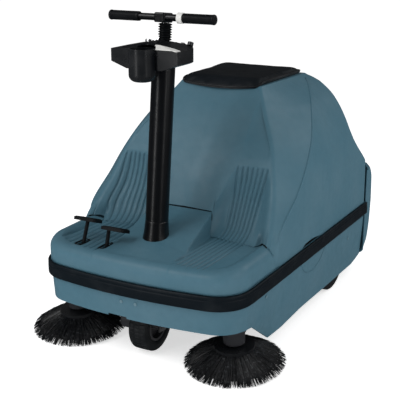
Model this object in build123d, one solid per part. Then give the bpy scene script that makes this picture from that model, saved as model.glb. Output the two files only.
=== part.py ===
"""Battery ride-on floor sweeper with a lift-up seat hood, in millimetres.

+Z is up, the front faces -Y, and the origin is on the floor under the middle of the machine.
Places along the machine are given as distances behind the front of the bumper band, through back().
"""
import math
import os

from build123d import *

os.makedirs("parts", exist_ok=True)

# Driving dimensions
LENGTH = 1474
FRONT_HALF = 420            # half width over the bumper band at the front corners
REAR_HALF = 436             # half width over the bumper band at its rear ends
BOW = 43                    # how far the front curves back at the corners
CORNER_R = 134
BAND_LOW, BAND_TOP = 263, 318
BODY_INSET = 11             # body wall behind the face of the band
WALL = 5
BODY_SPLIT = 1338           # end of skirt, band and hood, where the hopper begins
# Lower edge of the skirt: high over the front wheel and side brooms, low along the sides
SKIRT_PROFILE = ((-20, 172), (125, 168), (195, 158), (345, 54), (460, 48), (650, 56), (860, 52),
                 (1235, 47), (1290, 56), (BODY_SPLIT + 5, 68))
FORK_NOTCH = ((-90, -10), 178)
SKIRT_DRAFT = 17            # how far the skirt draws in from the band to its foot
SCREW_X, SCREW_Z = (-28, 31), 237
SIDE_SCREWS = ((300, 236), (1147, 197))
DECK_FLOOR, DECK_RIM = 394, 412
TUNNEL_TOP_FRONT, TUNNEL_TOP_REAR = 398, 480
TUNNEL_END = 425
FLOOR_END = 446
HOOD_TOP = 915
HOOD_GAP = 3
SEAM_LOW, SEAM_TOP = 369, 333  # rear end of the deck's side wall, at the band and at the rim
# Front wall of the hood: (ridge distance, height, ridge x) and (side crease distance, crease x)
RIDGE = ((350, 415, 389), (466, 560, 358), (548, 705, 310), (640, 826, 234), (728, 925, 172))
CREASE = ((385, 405), (560, 411), (732, 388), (888, 325), (1130, 196))
HOOD_SIDE = ((200, 0), (266, 37), (326, 91), (388, 203), (414, 315), (436, 485))  # x, drop from the top
GRIP_RECESS = ((600, 322), (648, 338), (730, 338), (880, 322))
GRIP_HOLLOW = ((612, 325), (652, 334.5), (728, 334.5), (862, 325))
SEAT_FRONT, SEAT_REAR = 716, 1118
LEAN = 6.2                  # backward lean of the steering column, degrees
COLUMN_FOOT = (215, 426)
COLUMN_R = 42
STEM_R = 14
STEM_BASE = -212            # fork crown, measured along the column from its foot
BAR_ALONG, BAR_AHEAD = 785.5, 29
BAR_HALF, BAR_R, GRIP_R = 208, 12, 17
CONSOLE_HALF = 132
SWITCH_AT, SWITCH_SLOPE = (300, 1118.5), 27.2   # middle of the switch panel and its slope, degrees
CUP_AT, CUP_R = 140, 46.7
FRONT_WHEEL = (165, 100)    # distance behind the bumper, and radius
FRONT_TYRE_HALF = 38
REAR_WHEEL = (1035, 155)
REAR_TYRE = (328, 396)
AXLE_R = 12.5
BROOM_AT = (338, 184)
BROOM_HUB_Z = 84
BROOM_TILT = 4.8
BROOM_R = 180
DISC_R = 74
MAIN_BROOM = (850, 139)
MAIN_BROOM_R = 138
MAIN_BROOM_HALF = 284
PULLEY_R, MOTOR_PULLEY_R = 50, 25
BELT = (312, 322)
MOTOR_AT = (640, 139)
RAIL = (300, 325)
RAIL_Z = (205, 265)
HINGE_AT = (1341, 507)
HINGE_PIN_R = 3
HOPPER_REAR = 1440
HOPPER_TOP = 500
PEDAL_PIVOT = (150, 326)
PEDAL_X = (-252, -150)       # drive lever, brake lever
RUN = 0.05                  # radial running clearance
GAP = 0.3                   # clearance between bodies that slide past each other


def back(distance):
    return distance - LENGTH / 2


def box(x, y, z):
    """A block from (low, high) pairs, with y measured behind the bumper's front."""
    size = (x[1] - x[0], y[1] - y[0], z[1] - z[0])
    centre = ((x[0] + x[1]) / 2, back((y[0] + y[1]) / 2), (z[0] + z[1]) / 2)
    return Pos(*centre) * Box(*size)


def mirrored_x(shape):
    return mirror(shape, about=Plane.YZ)


def both(shape):
    return shape + mirrored_x(shape)


def rod(start, end, radius):
    """A round bar between two points, each (x, distance behind the bumper's front, z)."""
    low, high = Vector(start[0], back(start[1]), start[2]), Vector(end[0], back(end[1]), end[2])
    return Solid.make_cylinder(radius, (high - low).length, Plane(origin=low, z_dir=high - low))


def tube(start, end, radius, bore):
    return rod(start, end, radius) - rod(start, end, bore)


def cross_axle(x, y, z, radius):
    """A round bar along X between x[0] and x[1]."""
    return rod((x[0], y, z), (x[1], y, z), radius)


def side_profile(points, half_width):
    """A prism across the machine from a side outline of (distance behind the bumper, z) points."""
    wire = Wire.make_polygon([Vector(-half_width, back(y), z) for y, z in points])
    return extrude(Face(wire), amount=2 * half_width, dir=(1, 0, 0))


def save(name, shape):
    shape.label = name
    export_step(shape, "parts/" + name + ".step")


# Plan outline shared by the band, skirt, deck and hood

def outline(inset, rear=BODY_SPLIT):
    """The body's plan: a bowed front, round front corners and sides that widen to the rear."""
    front_half, rear_half = FRONT_HALF - inset, REAR_HALF - inset
    with BuildSketch() as sketch:
        with BuildLine():
            corner_y = back(BOW) + inset
            ThreePointArc((-front_half, corner_y), (0, back(0) + inset), (front_half, corner_y))
            Polyline((front_half, corner_y), (rear_half, back(rear)), (-rear_half, back(rear)),
                     (-front_half, corner_y))
        make_face()
        fillet(sketch.vertices().sort_by(Axis.Y)[:2], CORNER_R - inset)
    return sketch.sketch


def bumper_band():
    band = extrude(outline(0) - outline(BODY_INSET), BAND_TOP - BAND_LOW)
    band = Pos(0, 0, BAND_LOW) * band
    outer = band.faces().sort_by(Axis.Y)[0].edges().filter_by(Plane.XY)
    return fillet(outer, 6)


def lower_skirt():
    """The tapered tub below the band, with its lower edge falling towards the rear."""
    def form(inset, top, bottom):
        lower = Pos(0, 0, bottom) * outline(inset + SKIRT_DRAFT)
        return loft([Pos(0, 0, top) * outline(inset), lower], ruled=True)
    skirt = form(BODY_INSET, BAND_TOP, 40) - form(BODY_INSET + WALL, BAND_TOP, 40)
    skirt -= box((-400, 400), (BODY_SPLIT - 30, BODY_SPLIT + 5), (0, BAND_TOP))
    skirt -= side_profile([(-20, 0), *SKIRT_PROFILE, (BODY_SPLIT + 5, 0)], 500)
    skirt -= box(FORK_NOTCH[0], (-10, 90), (150, FORK_NOTCH[1]))
    for x in SCREW_X:
        skirt -= rod((x, 0, SCREW_Z), (x, 40, SCREW_Z), 2.6)
    return skirt


def skirt_screws():
    """Pan-head screws that hold the skirt: two on the front and two on each side."""
    screws = []
    for x in SCREW_X:
        hole_y = front_wall_at(x, SCREW_Z) - 0.5
        head = rod((x, hole_y - 1.5, SCREW_Z), (x, hole_y, SCREW_Z), 6)
        screws.append(head.fuse(rod((x, hole_y, SCREW_Z), (x, hole_y + 18, SCREW_Z), 2.5)))
    for y, z in SIDE_SCREWS:
        wall_x = side_wall_at(y, z) + 0.5
        head = rod((wall_x, y, z), (wall_x + 1.5, y, z), 6)
        screws += [head, mirrored_x(head)]
    return Compound(children=screws)


def skirt_inset(z):
    return BODY_INSET + SKIRT_DRAFT * (BAND_TOP - z) / (BAND_TOP - 40)


def front_wall_at(x, z):
    """Where the skirt's outer face lies at x, as a distance behind the bumper's front."""
    half = FRONT_HALF - skirt_inset(z)
    return skirt_inset(z) + BOW * (x / half) ** 2


def side_wall_at(y, z):
    widening = (REAR_HALF - FRONT_HALF) * (y - BOW) / (BODY_SPLIT - BOW)
    return FRONT_HALF + widening - skirt_inset(z)


# Front deck with two footwells and the raised tunnel between them

def deck_form(inset):
    top = DECK_RIM - inset
    low = BAND_TOP + 1 - 6 * inset
    slab = Pos(0, 0, low) * extrude(outline(BODY_INSET + inset), top - low)
    edge = [e for e in slab.edges().filter_by(Plane.XY) if e.center().Z > top - 1
            and e.center().Y < back(900)]
    slab = fillet(edge, 38)
    slab &= side_profile([(-20, 200), (SEAM_LOW - inset, 200), (SEAM_LOW - inset, BAND_TOP),
                          (SEAM_TOP - inset, top + 1), (-20, top + 1)], 500)
    floor = box((132 + inset, 386 - inset), (52 + inset, 400), (DECK_FLOOR - inset, top + 5))
    slab -= both(floor)
    start = Pos(0, back(60 + inset), 0) * tunnel_section(152 - inset, TUNNEL_TOP_FRONT - inset, inset)
    end = Pos(0, back(TUNNEL_END - inset), 0) * tunnel_section(122 - inset, TUNNEL_TOP_REAR - inset, inset)
    tunnel = loft([start, end], ruled=True)
    ledge = box((-386 + inset, 386 - inset), (300, FLOOR_END - inset),
                (DECK_FLOOR - 8 - 3.2 * inset, DECK_FLOOR - inset))
    return slab + ledge + tunnel


def tunnel_section(half_top, top, inset):
    base = DECK_FLOOR - 8 - 4 * inset
    points = [(-half_top - 12, base), (half_top + 12, base), (half_top, top), (-half_top, top)]
    return Face(Wire.make_polygon([Vector(x, 0, z) for x, z in points]))


def front_deck():
    deck = deck_form(0) - deck_form(WALL)
    deck -= column_rod(COLUMN_R + 1, -120, 120)
    for x in PEDAL_X:
        deck -= box((x - 11, x + 11), (76, 134), (370, 420))
    return deck


# Hood: tapering seat box with a leg recess on each side of the front wall

def hood_corner_cut(inset):
    """The space in front of the flat facet between the front ridge and the side crease."""
    sections = []
    for (ridge_y, z, ridge_x), (crease_y, crease_x) in zip(RIDGE, CREASE):
        x0, y0, x1, y1 = ridge_x - inset, ridge_y + inset, crease_x - inset, crease_y + inset
        ring = [(x0, y0 - 400), (x0, y0), (x1, y1), (560, y1), (560, y0 - 400)]
        sections.append(Face(Wire.make_polygon([Vector(x, back(y), z) for x, y in ring])))
    cut = loft(sections, ruled=True)
    return both(cut)


def hood_form(inset):
    low = BAND_TOP + HOOD_GAP - 6 * inset
    top = HOOD_TOP - inset
    with BuildSketch(Plane.YZ) as side:
        with BuildLine():
            front = Spline((back(425 + inset), 478), (back(503 + inset), 635),
                           (back(620 + inset), 799), (back(718 + inset), top))
            rear = Spline((back(1162 - inset), top - 12), (back(1163 - inset), 755),
                          (back(1197 - inset), 648), (back(BODY_SPLIT - inset), 516))
            Line(front @ 1, (back(1150 - inset), top))
            Line((back(1150 - inset), top), rear @ 0)
            seam_low, seam_top = SEAM_LOW + 3.5 + inset, SEAM_TOP + 3.5 + inset
            Polyline(rear @ 1, (back(BODY_SPLIT - inset), low), (back(seam_low), low),
                     (back(seam_top), DECK_RIM), (back(364 + inset), 425), front @ 0)
        make_face()
    form = extrude(side.sketch, 480, both=True)
    with BuildSketch(Plane.XZ) as face:
        with BuildLine():
            wall = [(x - inset, (top if drop == 0 else HOOD_TOP - drop)) for x, drop in HOOD_SIDE]
            right = Spline(*wall)
            left = Spline(*[(-x, z) for x, z in wall])
            Line(left @ 0, right @ 0)
            Polyline(right @ 1, (wall[-1][0], low), (-wall[-1][0], low), left @ 1)
        make_face()
    form &= extrude(face.sketch, 900, both=True)
    form &= Pos(0, 0, low) * extrude(outline(BODY_INSET + inset, BODY_SPLIT - inset), top - low)
    form -= hood_corner_cut(inset)
    recess = leg_recess(inset)
    return form - both(recess)


def leg_recess(inset):
    """The round hollow for a shin, fading out up the front wall."""
    foot, head = Vector(240, back(352), 380), Vector(232, back(566), 730)
    axis = head - foot
    return Solid.make_cone(100 + inset, 6 + inset, axis.length, Plane(origin=foot, z_dir=axis))


def hood_shell():
    shell = hood_form(0) - hood_form(WALL)
    deck_space = box((-130, 130), (300, TUNNEL_END + HOOD_GAP), (300, TUNNEL_TOP_REAR + HOOD_GAP))
    floor_space = box((-388, 388), (300, FLOOR_END + HOOD_GAP), (300, DECK_FLOOR + HOOD_GAP))
    tunnel_foot = side_profile([(300, 300), (TUNNEL_END + 3, 300), (TUNNEL_END + 30, 483), (300, 483)], 144)
    shell -= deck_space + floor_space + tunnel_foot
    shell -= box((-396, 396), (BODY_SPLIT - 20, BODY_SPLIT + 5), (300, 515))
    shell += box((-380, 380), (BODY_SPLIT - 22, BODY_SPLIT - 2), (515, 519)) & hood_form(0)
    return shell - both(grip_block(GRIP_RECESS, 388))


def grip_block(profile, inner_x):
    """A finger recess above the band, a low trapezium seen from the side."""
    wire = Wire.make_polygon([Vector(inner_x, back(y), z) for y, z in profile])
    return extrude(Face(wire), amount=60, dir=(1, 0, 0))


def hand_grips():
    """Dark cups set into the two finger recesses."""
    cup = grip_block(GRIP_RECESS, 388) - grip_block(GRIP_HOLLOW, 392)
    cup &= extrude(Pos(0, 0, BAND_TOP) * outline(BODY_INSET + 2), 80)
    return both(cup)


# Seat

def seat_plan(inset, half_front=178, half_rear=190):
    with BuildSketch() as sketch:
        with BuildLine():
            start = (-half_front + inset, back(SEAT_FRONT + 14) + inset)
            end = (half_front - inset, back(SEAT_FRONT + 14) + inset)
            ThreePointArc(start, (0, back(SEAT_FRONT) + inset), end)
            Polyline(end, (half_rear - inset, back(SEAT_REAR) - inset),
                     (-half_rear + inset, back(SEAT_REAR) - inset), start)
        make_face()
        fillet(sketch.vertices(), 22 - inset)
    return sketch.sketch


def seat_board():
    return Pos(0, 0, HOOD_TOP) * extrude(seat_plan(10), 5)


def seat_pad():
    pad = Pos(0, 0, HOOD_TOP + 5) * extrude(seat_plan(0), 17)
    return fillet(pad.edges().filter_by(Plane.XY).group_by(Axis.Z)[-1], 5)


def hood_hinge_leaf():
    leaf = None
    for span in ((-108, -70), (70, 108)):
        plate = box(span, (BODY_SPLIT - 20, HINGE_AT[0]), (511.5, 515))
        piece = plate + cross_axle(span, *HINGE_AT, 7)
        piece -= cross_axle((span[0] - 5, span[1] + 5), *HINGE_AT, HINGE_PIN_R + RUN)
        leaf = piece if leaf is None else leaf + piece
    return leaf


def body_hinge_leaf():
    leaf = None
    for span in ((-150, -108.5), (108.5, 150)):
        piece = box(span, (1326, 1329), (440, 504)) + box(span, (1326, HINGE_AT[0]), (500, 504))
        piece += cross_axle(span, *HINGE_AT, 7)
        piece -= cross_axle((span[0] - 5, span[1] + 5), *HINGE_AT, HINGE_PIN_R + RUN)
        leaf = piece if leaf is None else leaf + piece
    return leaf


def hood_hinge_pins():
    return [cross_axle(span, *HINGE_AT, HINGE_PIN_R) + cross_axle((span[1], span[1] + 3), *HINGE_AT, 5)
            for span in ((-152, -66), (66, 151))]


# Steering column, console and controls; places along the column come from its foot

def column_plane(along=0, ahead=0, x=0):
    lean = math.radians(LEAN)
    origin = Vector(x, back(COLUMN_FOOT[0]) + along * math.sin(lean) - ahead * math.cos(lean),
                    COLUMN_FOOT[1] + along * math.cos(lean) + ahead * math.sin(lean))
    return Plane(origin=origin, x_dir=(1, 0, 0), z_dir=(0, math.sin(lean), math.cos(lean)))


def column_rod(radius, start, end):
    return Solid.make_cylinder(radius, end - start, column_plane(start))


def column_ring(radius, bore, start, end):
    return column_rod(radius, start, end) - column_rod(bore, start, end)


def column_block(x, ahead, along):
    size = (x[1] - x[0], ahead[1] - ahead[0], along[1] - along[0])
    plane = column_plane((along[0] + along[1]) / 2, (ahead[0] + ahead[1]) / 2, (x[0] + x[1]) / 2)
    return plane * Box(*size)


def steering_column():
    column = column_ring(COLUMN_R, COLUMN_R - 5, -200, 640)
    return column - box((-80, 80), (100, 300), (150, 268))


def column_collar():
    plane = column_plane(-14)
    flare = Solid.make_cone(54, 46, 30, plane) + column_plane(16) * Pos(0, 0, 5) * Cylinder(46, 10)
    return flare - column_rod(COLUMN_R, -40, 60) - deck_form(0)


def column_bushes():
    bushes = [column_ring(COLUMN_R - 5, STEM_R + RUN, start, start + 24) for start in (-140, 600)]
    return bushes


def console_form(inset):
    points = [(0, 1134 - inset), (CONSOLE_HALF - inset, 1110 - inset), (CONSOLE_HALF - inset, 1066 + inset),
              (70, 1044 + inset), (-70, 1044 + inset), (-CONSOLE_HALF + inset, 1066 + inset),
              (-CONSOLE_HALF + inset, 1110 - inset)]
    wire = Wire.make_polygon([Vector(x, back(150 + inset), z) for x, z in points])
    form = extrude(Face(wire), amount=185 - 2 * inset, dir=(0, 1, 0))
    with BuildSketch() as plan:
        with BuildLine():
            half = CONSOLE_HALF - inset
            Polyline((-half, back(150 + inset)), (half, back(150 + inset)), (half, back(262)),
                     (half - 46, back(332 - inset)), (46 - half, back(332 - inset)), (-half, back(262)),
                     (-half, back(150 + inset)))
        make_face()
        fillet(plan.vertices().sort_by(Axis.Y)[2:], 26)
    form &= Pos(0, 0, 1000) * extrude(plan.sketch, 200)
    top_cut = side_profile([(150, 1114 - inset), (214, 1138 - inset), (214, 1200), (100, 1200),
                            (100, 1095 - inset)], 200)
    rear_cut = side_profile([(262, 1138 - inset), (340, 1098 - inset), (400, 1100), (400, 1200),
                             (262, 1200)], 200)
    return form - top_cut - rear_cut


def on_panel(x, up, solid):
    """Place a solid on the console's sloping rear panel."""
    slope = math.radians(SWITCH_SLOPE)
    panel = Plane(origin=(0, back(SWITCH_AT[0]), SWITCH_AT[1]), x_dir=(1, 0, 0),
                  z_dir=(0, math.sin(slope), math.cos(slope)))
    return panel * Pos(x, 0, up) * solid


def console_housing():
    housing = console_form(0) - console_form(4)
    housing -= column_rod(COLUMN_R + 0.2, 560, 660)
    housing -= column_rod(STEM_R + 5, 640, 760)
    housing -= cup_place(0, 200) * Cylinder(47, 200)
    for x in (-70, 70, -42, 42, 98):
        housing -= on_panel(x, 0, Cylinder(11.5, 30))
    return housing


def cup_place(low, high):
    return Pos(0, back(CUP_AT), 1005 + (low + high) / 2)


def cup_holder():
    """Round cup ahead of the column, hung on the console's front wall."""
    cup = cup_place(0, 112) * Cylinder(CUP_R, 112)
    cup -= cup_place(14, 112) * Cylinder(40, 98)
    return fillet(cup.edges().group_by(Axis.Z)[0], 24)


def console_strip():
    """Pale operating-symbol strip on the front bevel of one wing."""
    strip = box((30, 128), (150, 300), (1000, 1200)) & (console_form(-1.2) - console_form(0))
    strip &= side_profile([(140, 1080), (140, 1130), (172, 1142), (186, 1118)], 200)
    return strip - cup_place(0, 200) * Cylinder(47.2, 200)


def battery_gauge():
    return on_panel(-70, 3.2, Cylinder(14, 6)) + on_panel(-70, -5, Cylinder(11.2, 14))


def key_barrel():
    barrel = on_panel(-42, 1, Cylinder(11, 8)) - on_panel(-42, 3, Cylinder(6, 20))
    return barrel + on_panel(-42, -4, Cylinder(11, 3))


def ignition_key():
    return on_panel(-42, 5, Cylinder(5.6, 10)) + on_panel(-42, 17, Box(20, 3, 15))


def horn_button():
    return on_panel(98, 2, Cylinder(10.5, 12))


def rocker_switches(x):
    return on_panel(x, -2, Box(12, 16, 10))


# Handlebar and everything that turns with it

def steering_stem():
    return column_rod(STEM_R, STEM_BASE, 772)


def stem_boot():
    boot = None
    turns = 4
    for turn in range(turns):
        ring = Solid.make_cone(25, 19, 6, column_plane(716 + 12 * turn)) + Solid.make_cone(
            19, 25, 6, column_plane(722 + 12 * turn))
        boot = ring if boot is None else boot + ring
    return boot - column_rod(STEM_R, 700, 800)


def bar_plane(x):
    origin = column_plane(BAR_ALONG, BAR_AHEAD).origin
    return Plane(origin=(x, origin.Y, origin.Z), z_dir=(1, 0, 0))


def bar_section(x0, x1, radius, bore=0):
    piece = Solid.make_cylinder(radius, x1 - x0, bar_plane(x0))
    if bore:
        piece -= Solid.make_cylinder(bore, x1 - x0, bar_plane(x0))
    return piece


def handlebar():
    return bar_section(-BAR_HALF, BAR_HALF, BAR_R)


def bar_clamp():
    clamp = column_block((-21, 21), (-18, BAR_AHEAD + 18), (768, 802))
    clamp = fillet(clamp.edges(), 6)
    return clamp - bar_section(-40, 40, BAR_R) - column_rod(STEM_R, 700, 772)


def grip(side):
    inner, outer = 88, BAR_HALF
    if side > 0:
        piece = bar_section(inner, outer + 4, GRIP_R, 0) + bar_section(outer - 4, outer + 4, GRIP_R + 2)
    else:
        piece = bar_section(-outer - 4, -inner, GRIP_R, 0) + bar_section(-outer - 4, -outer + 4, GRIP_R + 2)
    return piece - handlebar()


def grip_collar():
    return bar_section(68, 87.5, GRIP_R + 2, BAR_R)


def wheel_plane():
    y, radius = FRONT_WHEEL
    return Plane(origin=(0, back(y), radius), z_dir=(1, 0, 0))


def fork_ahead():
    """How far the wheel's centre lies ahead of the steering axis, and its place along it."""
    lean = math.radians(LEAN)
    dy, dz = FRONT_WHEEL[0] - COLUMN_FOOT[0], FRONT_WHEEL[1] - COLUMN_FOOT[1]
    return -(dy * math.cos(lean) - dz * math.sin(lean)), dy * math.sin(lean) + dz * math.cos(lean)


def steering_fork():
    ahead, along = fork_ahead()
    crown = column_block((-54, 54), (-34, 46), (-222, STEM_BASE))
    leg = column_block((47, 54), (ahead - 24, ahead + 24), (along - 20, -214))
    fork = crown + both(leg)
    return fork - cross_axle((-60, 60), *FRONT_WHEEL, 8)


def front_axle():
    ends = cross_axle((-58, -54), *FRONT_WHEEL, 13) + cross_axle((54, 58), *FRONT_WHEEL, 13)
    return cross_axle((-58, 58), *FRONT_WHEEL, 8) + ends


def traction_motor():
    motor = cross_axle((-112, -58), *FRONT_WHEEL, 36)
    motor = fillet(motor.edges().sort_by(Axis.X)[0], 6)
    return motor - cross_axle((-60, -54), *FRONT_WHEEL, 13)


def tyre(x, y, radius, bore, crown):
    """A tyre along X with a round shoulder and shallow grooves round its tread."""
    body = cross_axle(x, y, radius, radius) - cross_axle(x, y, radius, bore)
    rims = [e for e in body.edges().filter_by(GeomType.CIRCLE) if e.radius > radius - 1]
    body = fillet(rims, crown)
    width = x[1] - x[0]
    for part in (0.3, 0.5, 0.7):
        middle = x[0] + part * width
        body -= cross_axle((middle - 2, middle + 2), y, radius, radius) - cross_axle(
            (middle - 2, middle + 2), y, radius, radius - 3)
    return body


def front_tyre():
    return tyre((-FRONT_TYRE_HALF, FRONT_TYRE_HALF), *FRONT_WHEEL, 62, 14)


def front_hub():
    y, radius = FRONT_WHEEL
    hub = cross_axle((-34, 34), y, radius, 61.7) - cross_axle((-34, -12), y, radius, 52)
    hub -= cross_axle((12, 34), y, radius, 52)
    hub += cross_axle((-44, 44), y, radius, 20)
    return hub - cross_axle((-50, 50), y, radius, 8 + RUN)


def rear_tyre():
    return tyre(REAR_TYRE, *REAR_WHEEL, 96, 16)


def rear_hub():
    y, radius = REAR_WHEEL
    low, high = REAR_TYRE
    hub = cross_axle((low + 5, high - 5), y, radius, 95.7) - cross_axle((low + 5, low + 25), y, radius, 82)
    hub -= cross_axle((high - 25, high - 5), y, radius, 82)
    hub += cross_axle((low - 1, high - 8), y, radius, 28)
    return hub - cross_axle((low - 10, high), y, radius, AXLE_R + RUN)


def rear_stub_axles():
    y, radius = REAR_WHEEL
    axle = cross_axle((RAIL[0], REAR_TYRE[1] - 4), y, radius, AXLE_R)
    axle += cross_axle((REAR_TYRE[1] - 7, REAR_TYRE[1] - 1), y, radius, 20)
    return Compound(children=[axle, mirrored_x(axle)])


# Side brooms

def broom_plane(side, along=0):
    tilt = math.radians(BROOM_TILT)
    normal = Vector(0, -math.sin(tilt), math.cos(tilt))
    origin = Vector(side * BROOM_AT[0], back(BROOM_AT[1]), BROOM_HUB_Z) + normal * along
    return Plane(origin=origin, x_dir=(1, 0, 0), z_dir=normal)


def broom_disc(side):
    disc = Solid.make_cylinder(DISC_R, 12, broom_plane(side, -10)) + Solid.make_cylinder(
        22, 10, broom_plane(side, -2))
    return disc - Solid.make_cylinder(8 + RUN, 30, broom_plane(side, -15))


def broom_bristles(side):
    """The splayed bristle ring, hollow underneath, with its front edge on the floor."""
    tilt = math.radians(BROOM_TILT)
    drop = (BROOM_HUB_Z - BROOM_R * math.sin(tilt)) / math.cos(tilt)
    points = [(46, -10.2), (72, -10.2), (BROOM_R, 9 - drop), (BROOM_R, -drop), (BROOM_R - 18, -drop),
              (46, -22)]
    wire = Wire.make_polygon([Vector(r, 0, z) for r, z in points])
    ring = revolve(Face(wire), Axis.Z)
    return broom_plane(side) * ring


def broom_arm(side):
    pivot = tube((182, 330, 150), (226, 330, 150), 14, 8 + RUN)
    beam = rod((206, 322, 150), (316, 206, 156), 11) - rod((180, 330, 150), (230, 330, 150), 8 + RUN)
    clasp = tube((BROOM_AT[0], BROOM_AT[1] - 5, 142), (BROOM_AT[0], BROOM_AT[1] - 7, 166), 46, 40.3)
    arm = pivot + beam + clasp
    arm -= rod((BROOM_AT[0], BROOM_AT[1], 90), (BROOM_AT[0], BROOM_AT[1] - 10, 200), 40.3)
    return arm if side > 0 else mirrored_x(arm)


def broom_motor(side):
    motor = Solid.make_cylinder(40, 74, broom_plane(1, 12)) + Solid.make_cylinder(8, 28, broom_plane(1, -12))
    return motor if side > 0 else mirrored_x(motor)


# Main broom and its belt drive

def main_broom_core():
    y, z = MAIN_BROOM
    core = cross_axle((-MAIN_BROOM_HALF, MAIN_BROOM_HALF), y, z, 52)
    core += cross_axle((-314, BELT[1] + 5), y, z, 11)
    core += cross_axle((BELT[0] - 2, BELT[0] - GAP), y, z, PULLEY_R + 5)
    core += cross_axle((BELT[1] + GAP, BELT[1] + 2), y, z, PULLEY_R + 5)
    return core + cross_axle(BELT, y, z, PULLEY_R)


def main_broom_bristles():
    y, z = MAIN_BROOM
    rows = None
    count = 8
    for row in range(count):
        blade = Pos(0, back(y), z) * Rot(X=360 * row / count) * Pos(0, 0, -(52 + MAIN_BROOM_R) / 2) * Box(
            2 * MAIN_BROOM_HALF, 26, MAIN_BROOM_R - 52)
        rows = blade if rows is None else rows + blade
    sleeve = cross_axle((-MAIN_BROOM_HALF, MAIN_BROOM_HALF), y, z, 62)
    return rows + sleeve - cross_axle((-MAIN_BROOM_HALF, MAIN_BROOM_HALF), y, z, 52)


def main_broom_bearings():
    y, z = MAIN_BROOM
    bearing = cross_axle((294, 306), y, z, 30) - cross_axle((290, 310), y, z, 11 + RUN)
    return [bearing, mirrored_x(bearing)]


def broom_housing():
    housing = box((-294, 294), (698, 1002), (62, 294)) - box((-290, 290), (702, 1010), (50, 290))
    hole = cross_axle((-300, 300), *MAIN_BROOM, 20)
    return housing - hole


def broom_housing_flaps():
    """Rubber flaps along the bottom of the housing's front and side walls."""
    front = box((-292, 292), (692, 698), (8, 110))
    side = box((294, 298), (700, 1000), (8, 100))
    return Compound(children=[front, side, mirrored_x(side)])


def main_broom_motor():
    y, z = MOTOR_AT
    motor = cross_axle((130, 296), y, z, 40) + cross_axle((290, BELT[0] - 2), y, z, 8)
    return motor + box((180, 260), (y - 30, y + 30), (z + 30, 214))


def motor_pulley():
    y, z = MOTOR_AT
    pulley = cross_axle(BELT, y, z, MOTOR_PULLEY_R)
    pulley += cross_axle((BELT[0] - 2, BELT[0] - GAP), y, z, MOTOR_PULLEY_R + 5)
    pulley += cross_axle((BELT[1] + GAP, BELT[1] + 2), y, z, MOTOR_PULLEY_R + 5)
    return pulley + cross_axle((BELT[0] - 2, BELT[1]), y, z, 20)


def belt_loop(grow):
    """The outline round both pulleys, as one prism across the belt's width."""
    y0, y1, z = MOTOR_AT[0], MAIN_BROOM[0], MAIN_BROOM[1]
    r0, r1 = MOTOR_PULLEY_R + grow, PULLEY_R + grow
    lean = math.asin((r1 - r0) / (y1 - y0))
    c, s = math.cos(lean), math.sin(lean)
    web = [(y0 - r0 * s, z + r0 * c), (y1 - r1 * s, z + r1 * c), (y1 - r1 * s, z - r1 * c),
           (y0 - r0 * s, z - r0 * c)]
    wire = Wire.make_polygon([Vector(BELT[0], back(y), height) for y, height in web])
    prism = extrude(Face(wire), amount=BELT[1] - BELT[0], dir=(1, 0, 0))
    return prism + cross_axle(BELT, y0, z, r0) + cross_axle(BELT, y1, z, r1)


def broom_belt():
    return belt_loop(5) - belt_loop(GAP)


# Frame and internals

def main_frame():
    """Welded frame: wide rails at the rear, narrow rails past the front wheel, and cross members."""
    rail = box(RAIL, (420, 1325), RAIL_Z) + box((150, 180), (70, 450), RAIL_Z)
    frame = both(rail)
    for y in (70, 420):
        frame += box((-180, 180) if y == 70 else (-RAIL[1], RAIL[1]), (y, y + 30), RAIL_Z)
    plate = box((-180, 180), (150, 290), (258, 268)) - column_rod(STEM_R + 8, -260, -100)
    frame += plate
    for y in (440, 670, 1250):
        frame += both(box((RAIL[0], side_wall_at(y, 280) - WALL - 2), (y, y + 24), (RAIL_Z[1] - 2, 285)))
    for y in (480, 660):
        frame += box((-RAIL[1], RAIL[1]), (y, y + 24), (RAIL_Z[1] - 2, 277))
    for y in (1008, 1288):
        frame += box((-RAIL[1], RAIL[1]), (y, y + 16), (304, 320))
        frame += both(box(RAIL, (y, y + 16), (RAIL_Z[1] - 2, 320)))
    drop = box(RAIL, (REAR_WHEEL[0] - 28, REAR_WHEEL[0] + 28), (REAR_WHEEL[1] - 28, RAIL_Z[0] + 2))
    frame += both(drop)
    frame -= both(cross_axle(RAIL, *REAR_WHEEL, AXLE_R))
    frame += box((180, 260), (600, 690), (214, 225)) + box((180, 200), (600, 690), (214, RAIL_Z[1] + 12))
    frame += box((-RAIL[1], RAIL[1]), (664, 684), (RAIL_Z[1] - 2, 277))
    pins = both(cross_axle((170, 230), 330, 150, 8)) + both(box((150, 180), (315, 345), (135, RAIL_Z[0] + 2)))
    return frame + pins


def rear_bulkhead():
    """Upright sheet ahead of the hopper that carries the hood's hinges."""
    sheet = box((-384, 384), (1320, 1326), (304, 498))
    return sheet + both(box(RAIL, (1305, 1326), (RAIL_Z[1], 304)))


def hopper_rails():
    rail = box((284, RAIL[0]), (1050, 1318), (180, 186))
    rail += box((RAIL[0] - 3, RAIL[0]), (1050, 1318), (180, 240))
    return [rail, mirrored_x(rail)]


def hopper_bin():
    """Open-topped debris bin with runners on both sides and a mouth facing the main broom."""
    outer = [(1012, 92), (1316, 92), (1390, 182), (1390, 296), (1012, 296)]
    inner = [(1000, 96), (1314, 96), (1386, 184), (1386, 310), (1000, 310)]
    runner = box((278, 294), (1040, 1380), (186 + GAP, 192))
    lip = box((-278, 278), (1012, 1016), (92, 110))
    return side_profile(outer, 278) - side_profile(inner, 274) + both(runner) + lip


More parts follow.
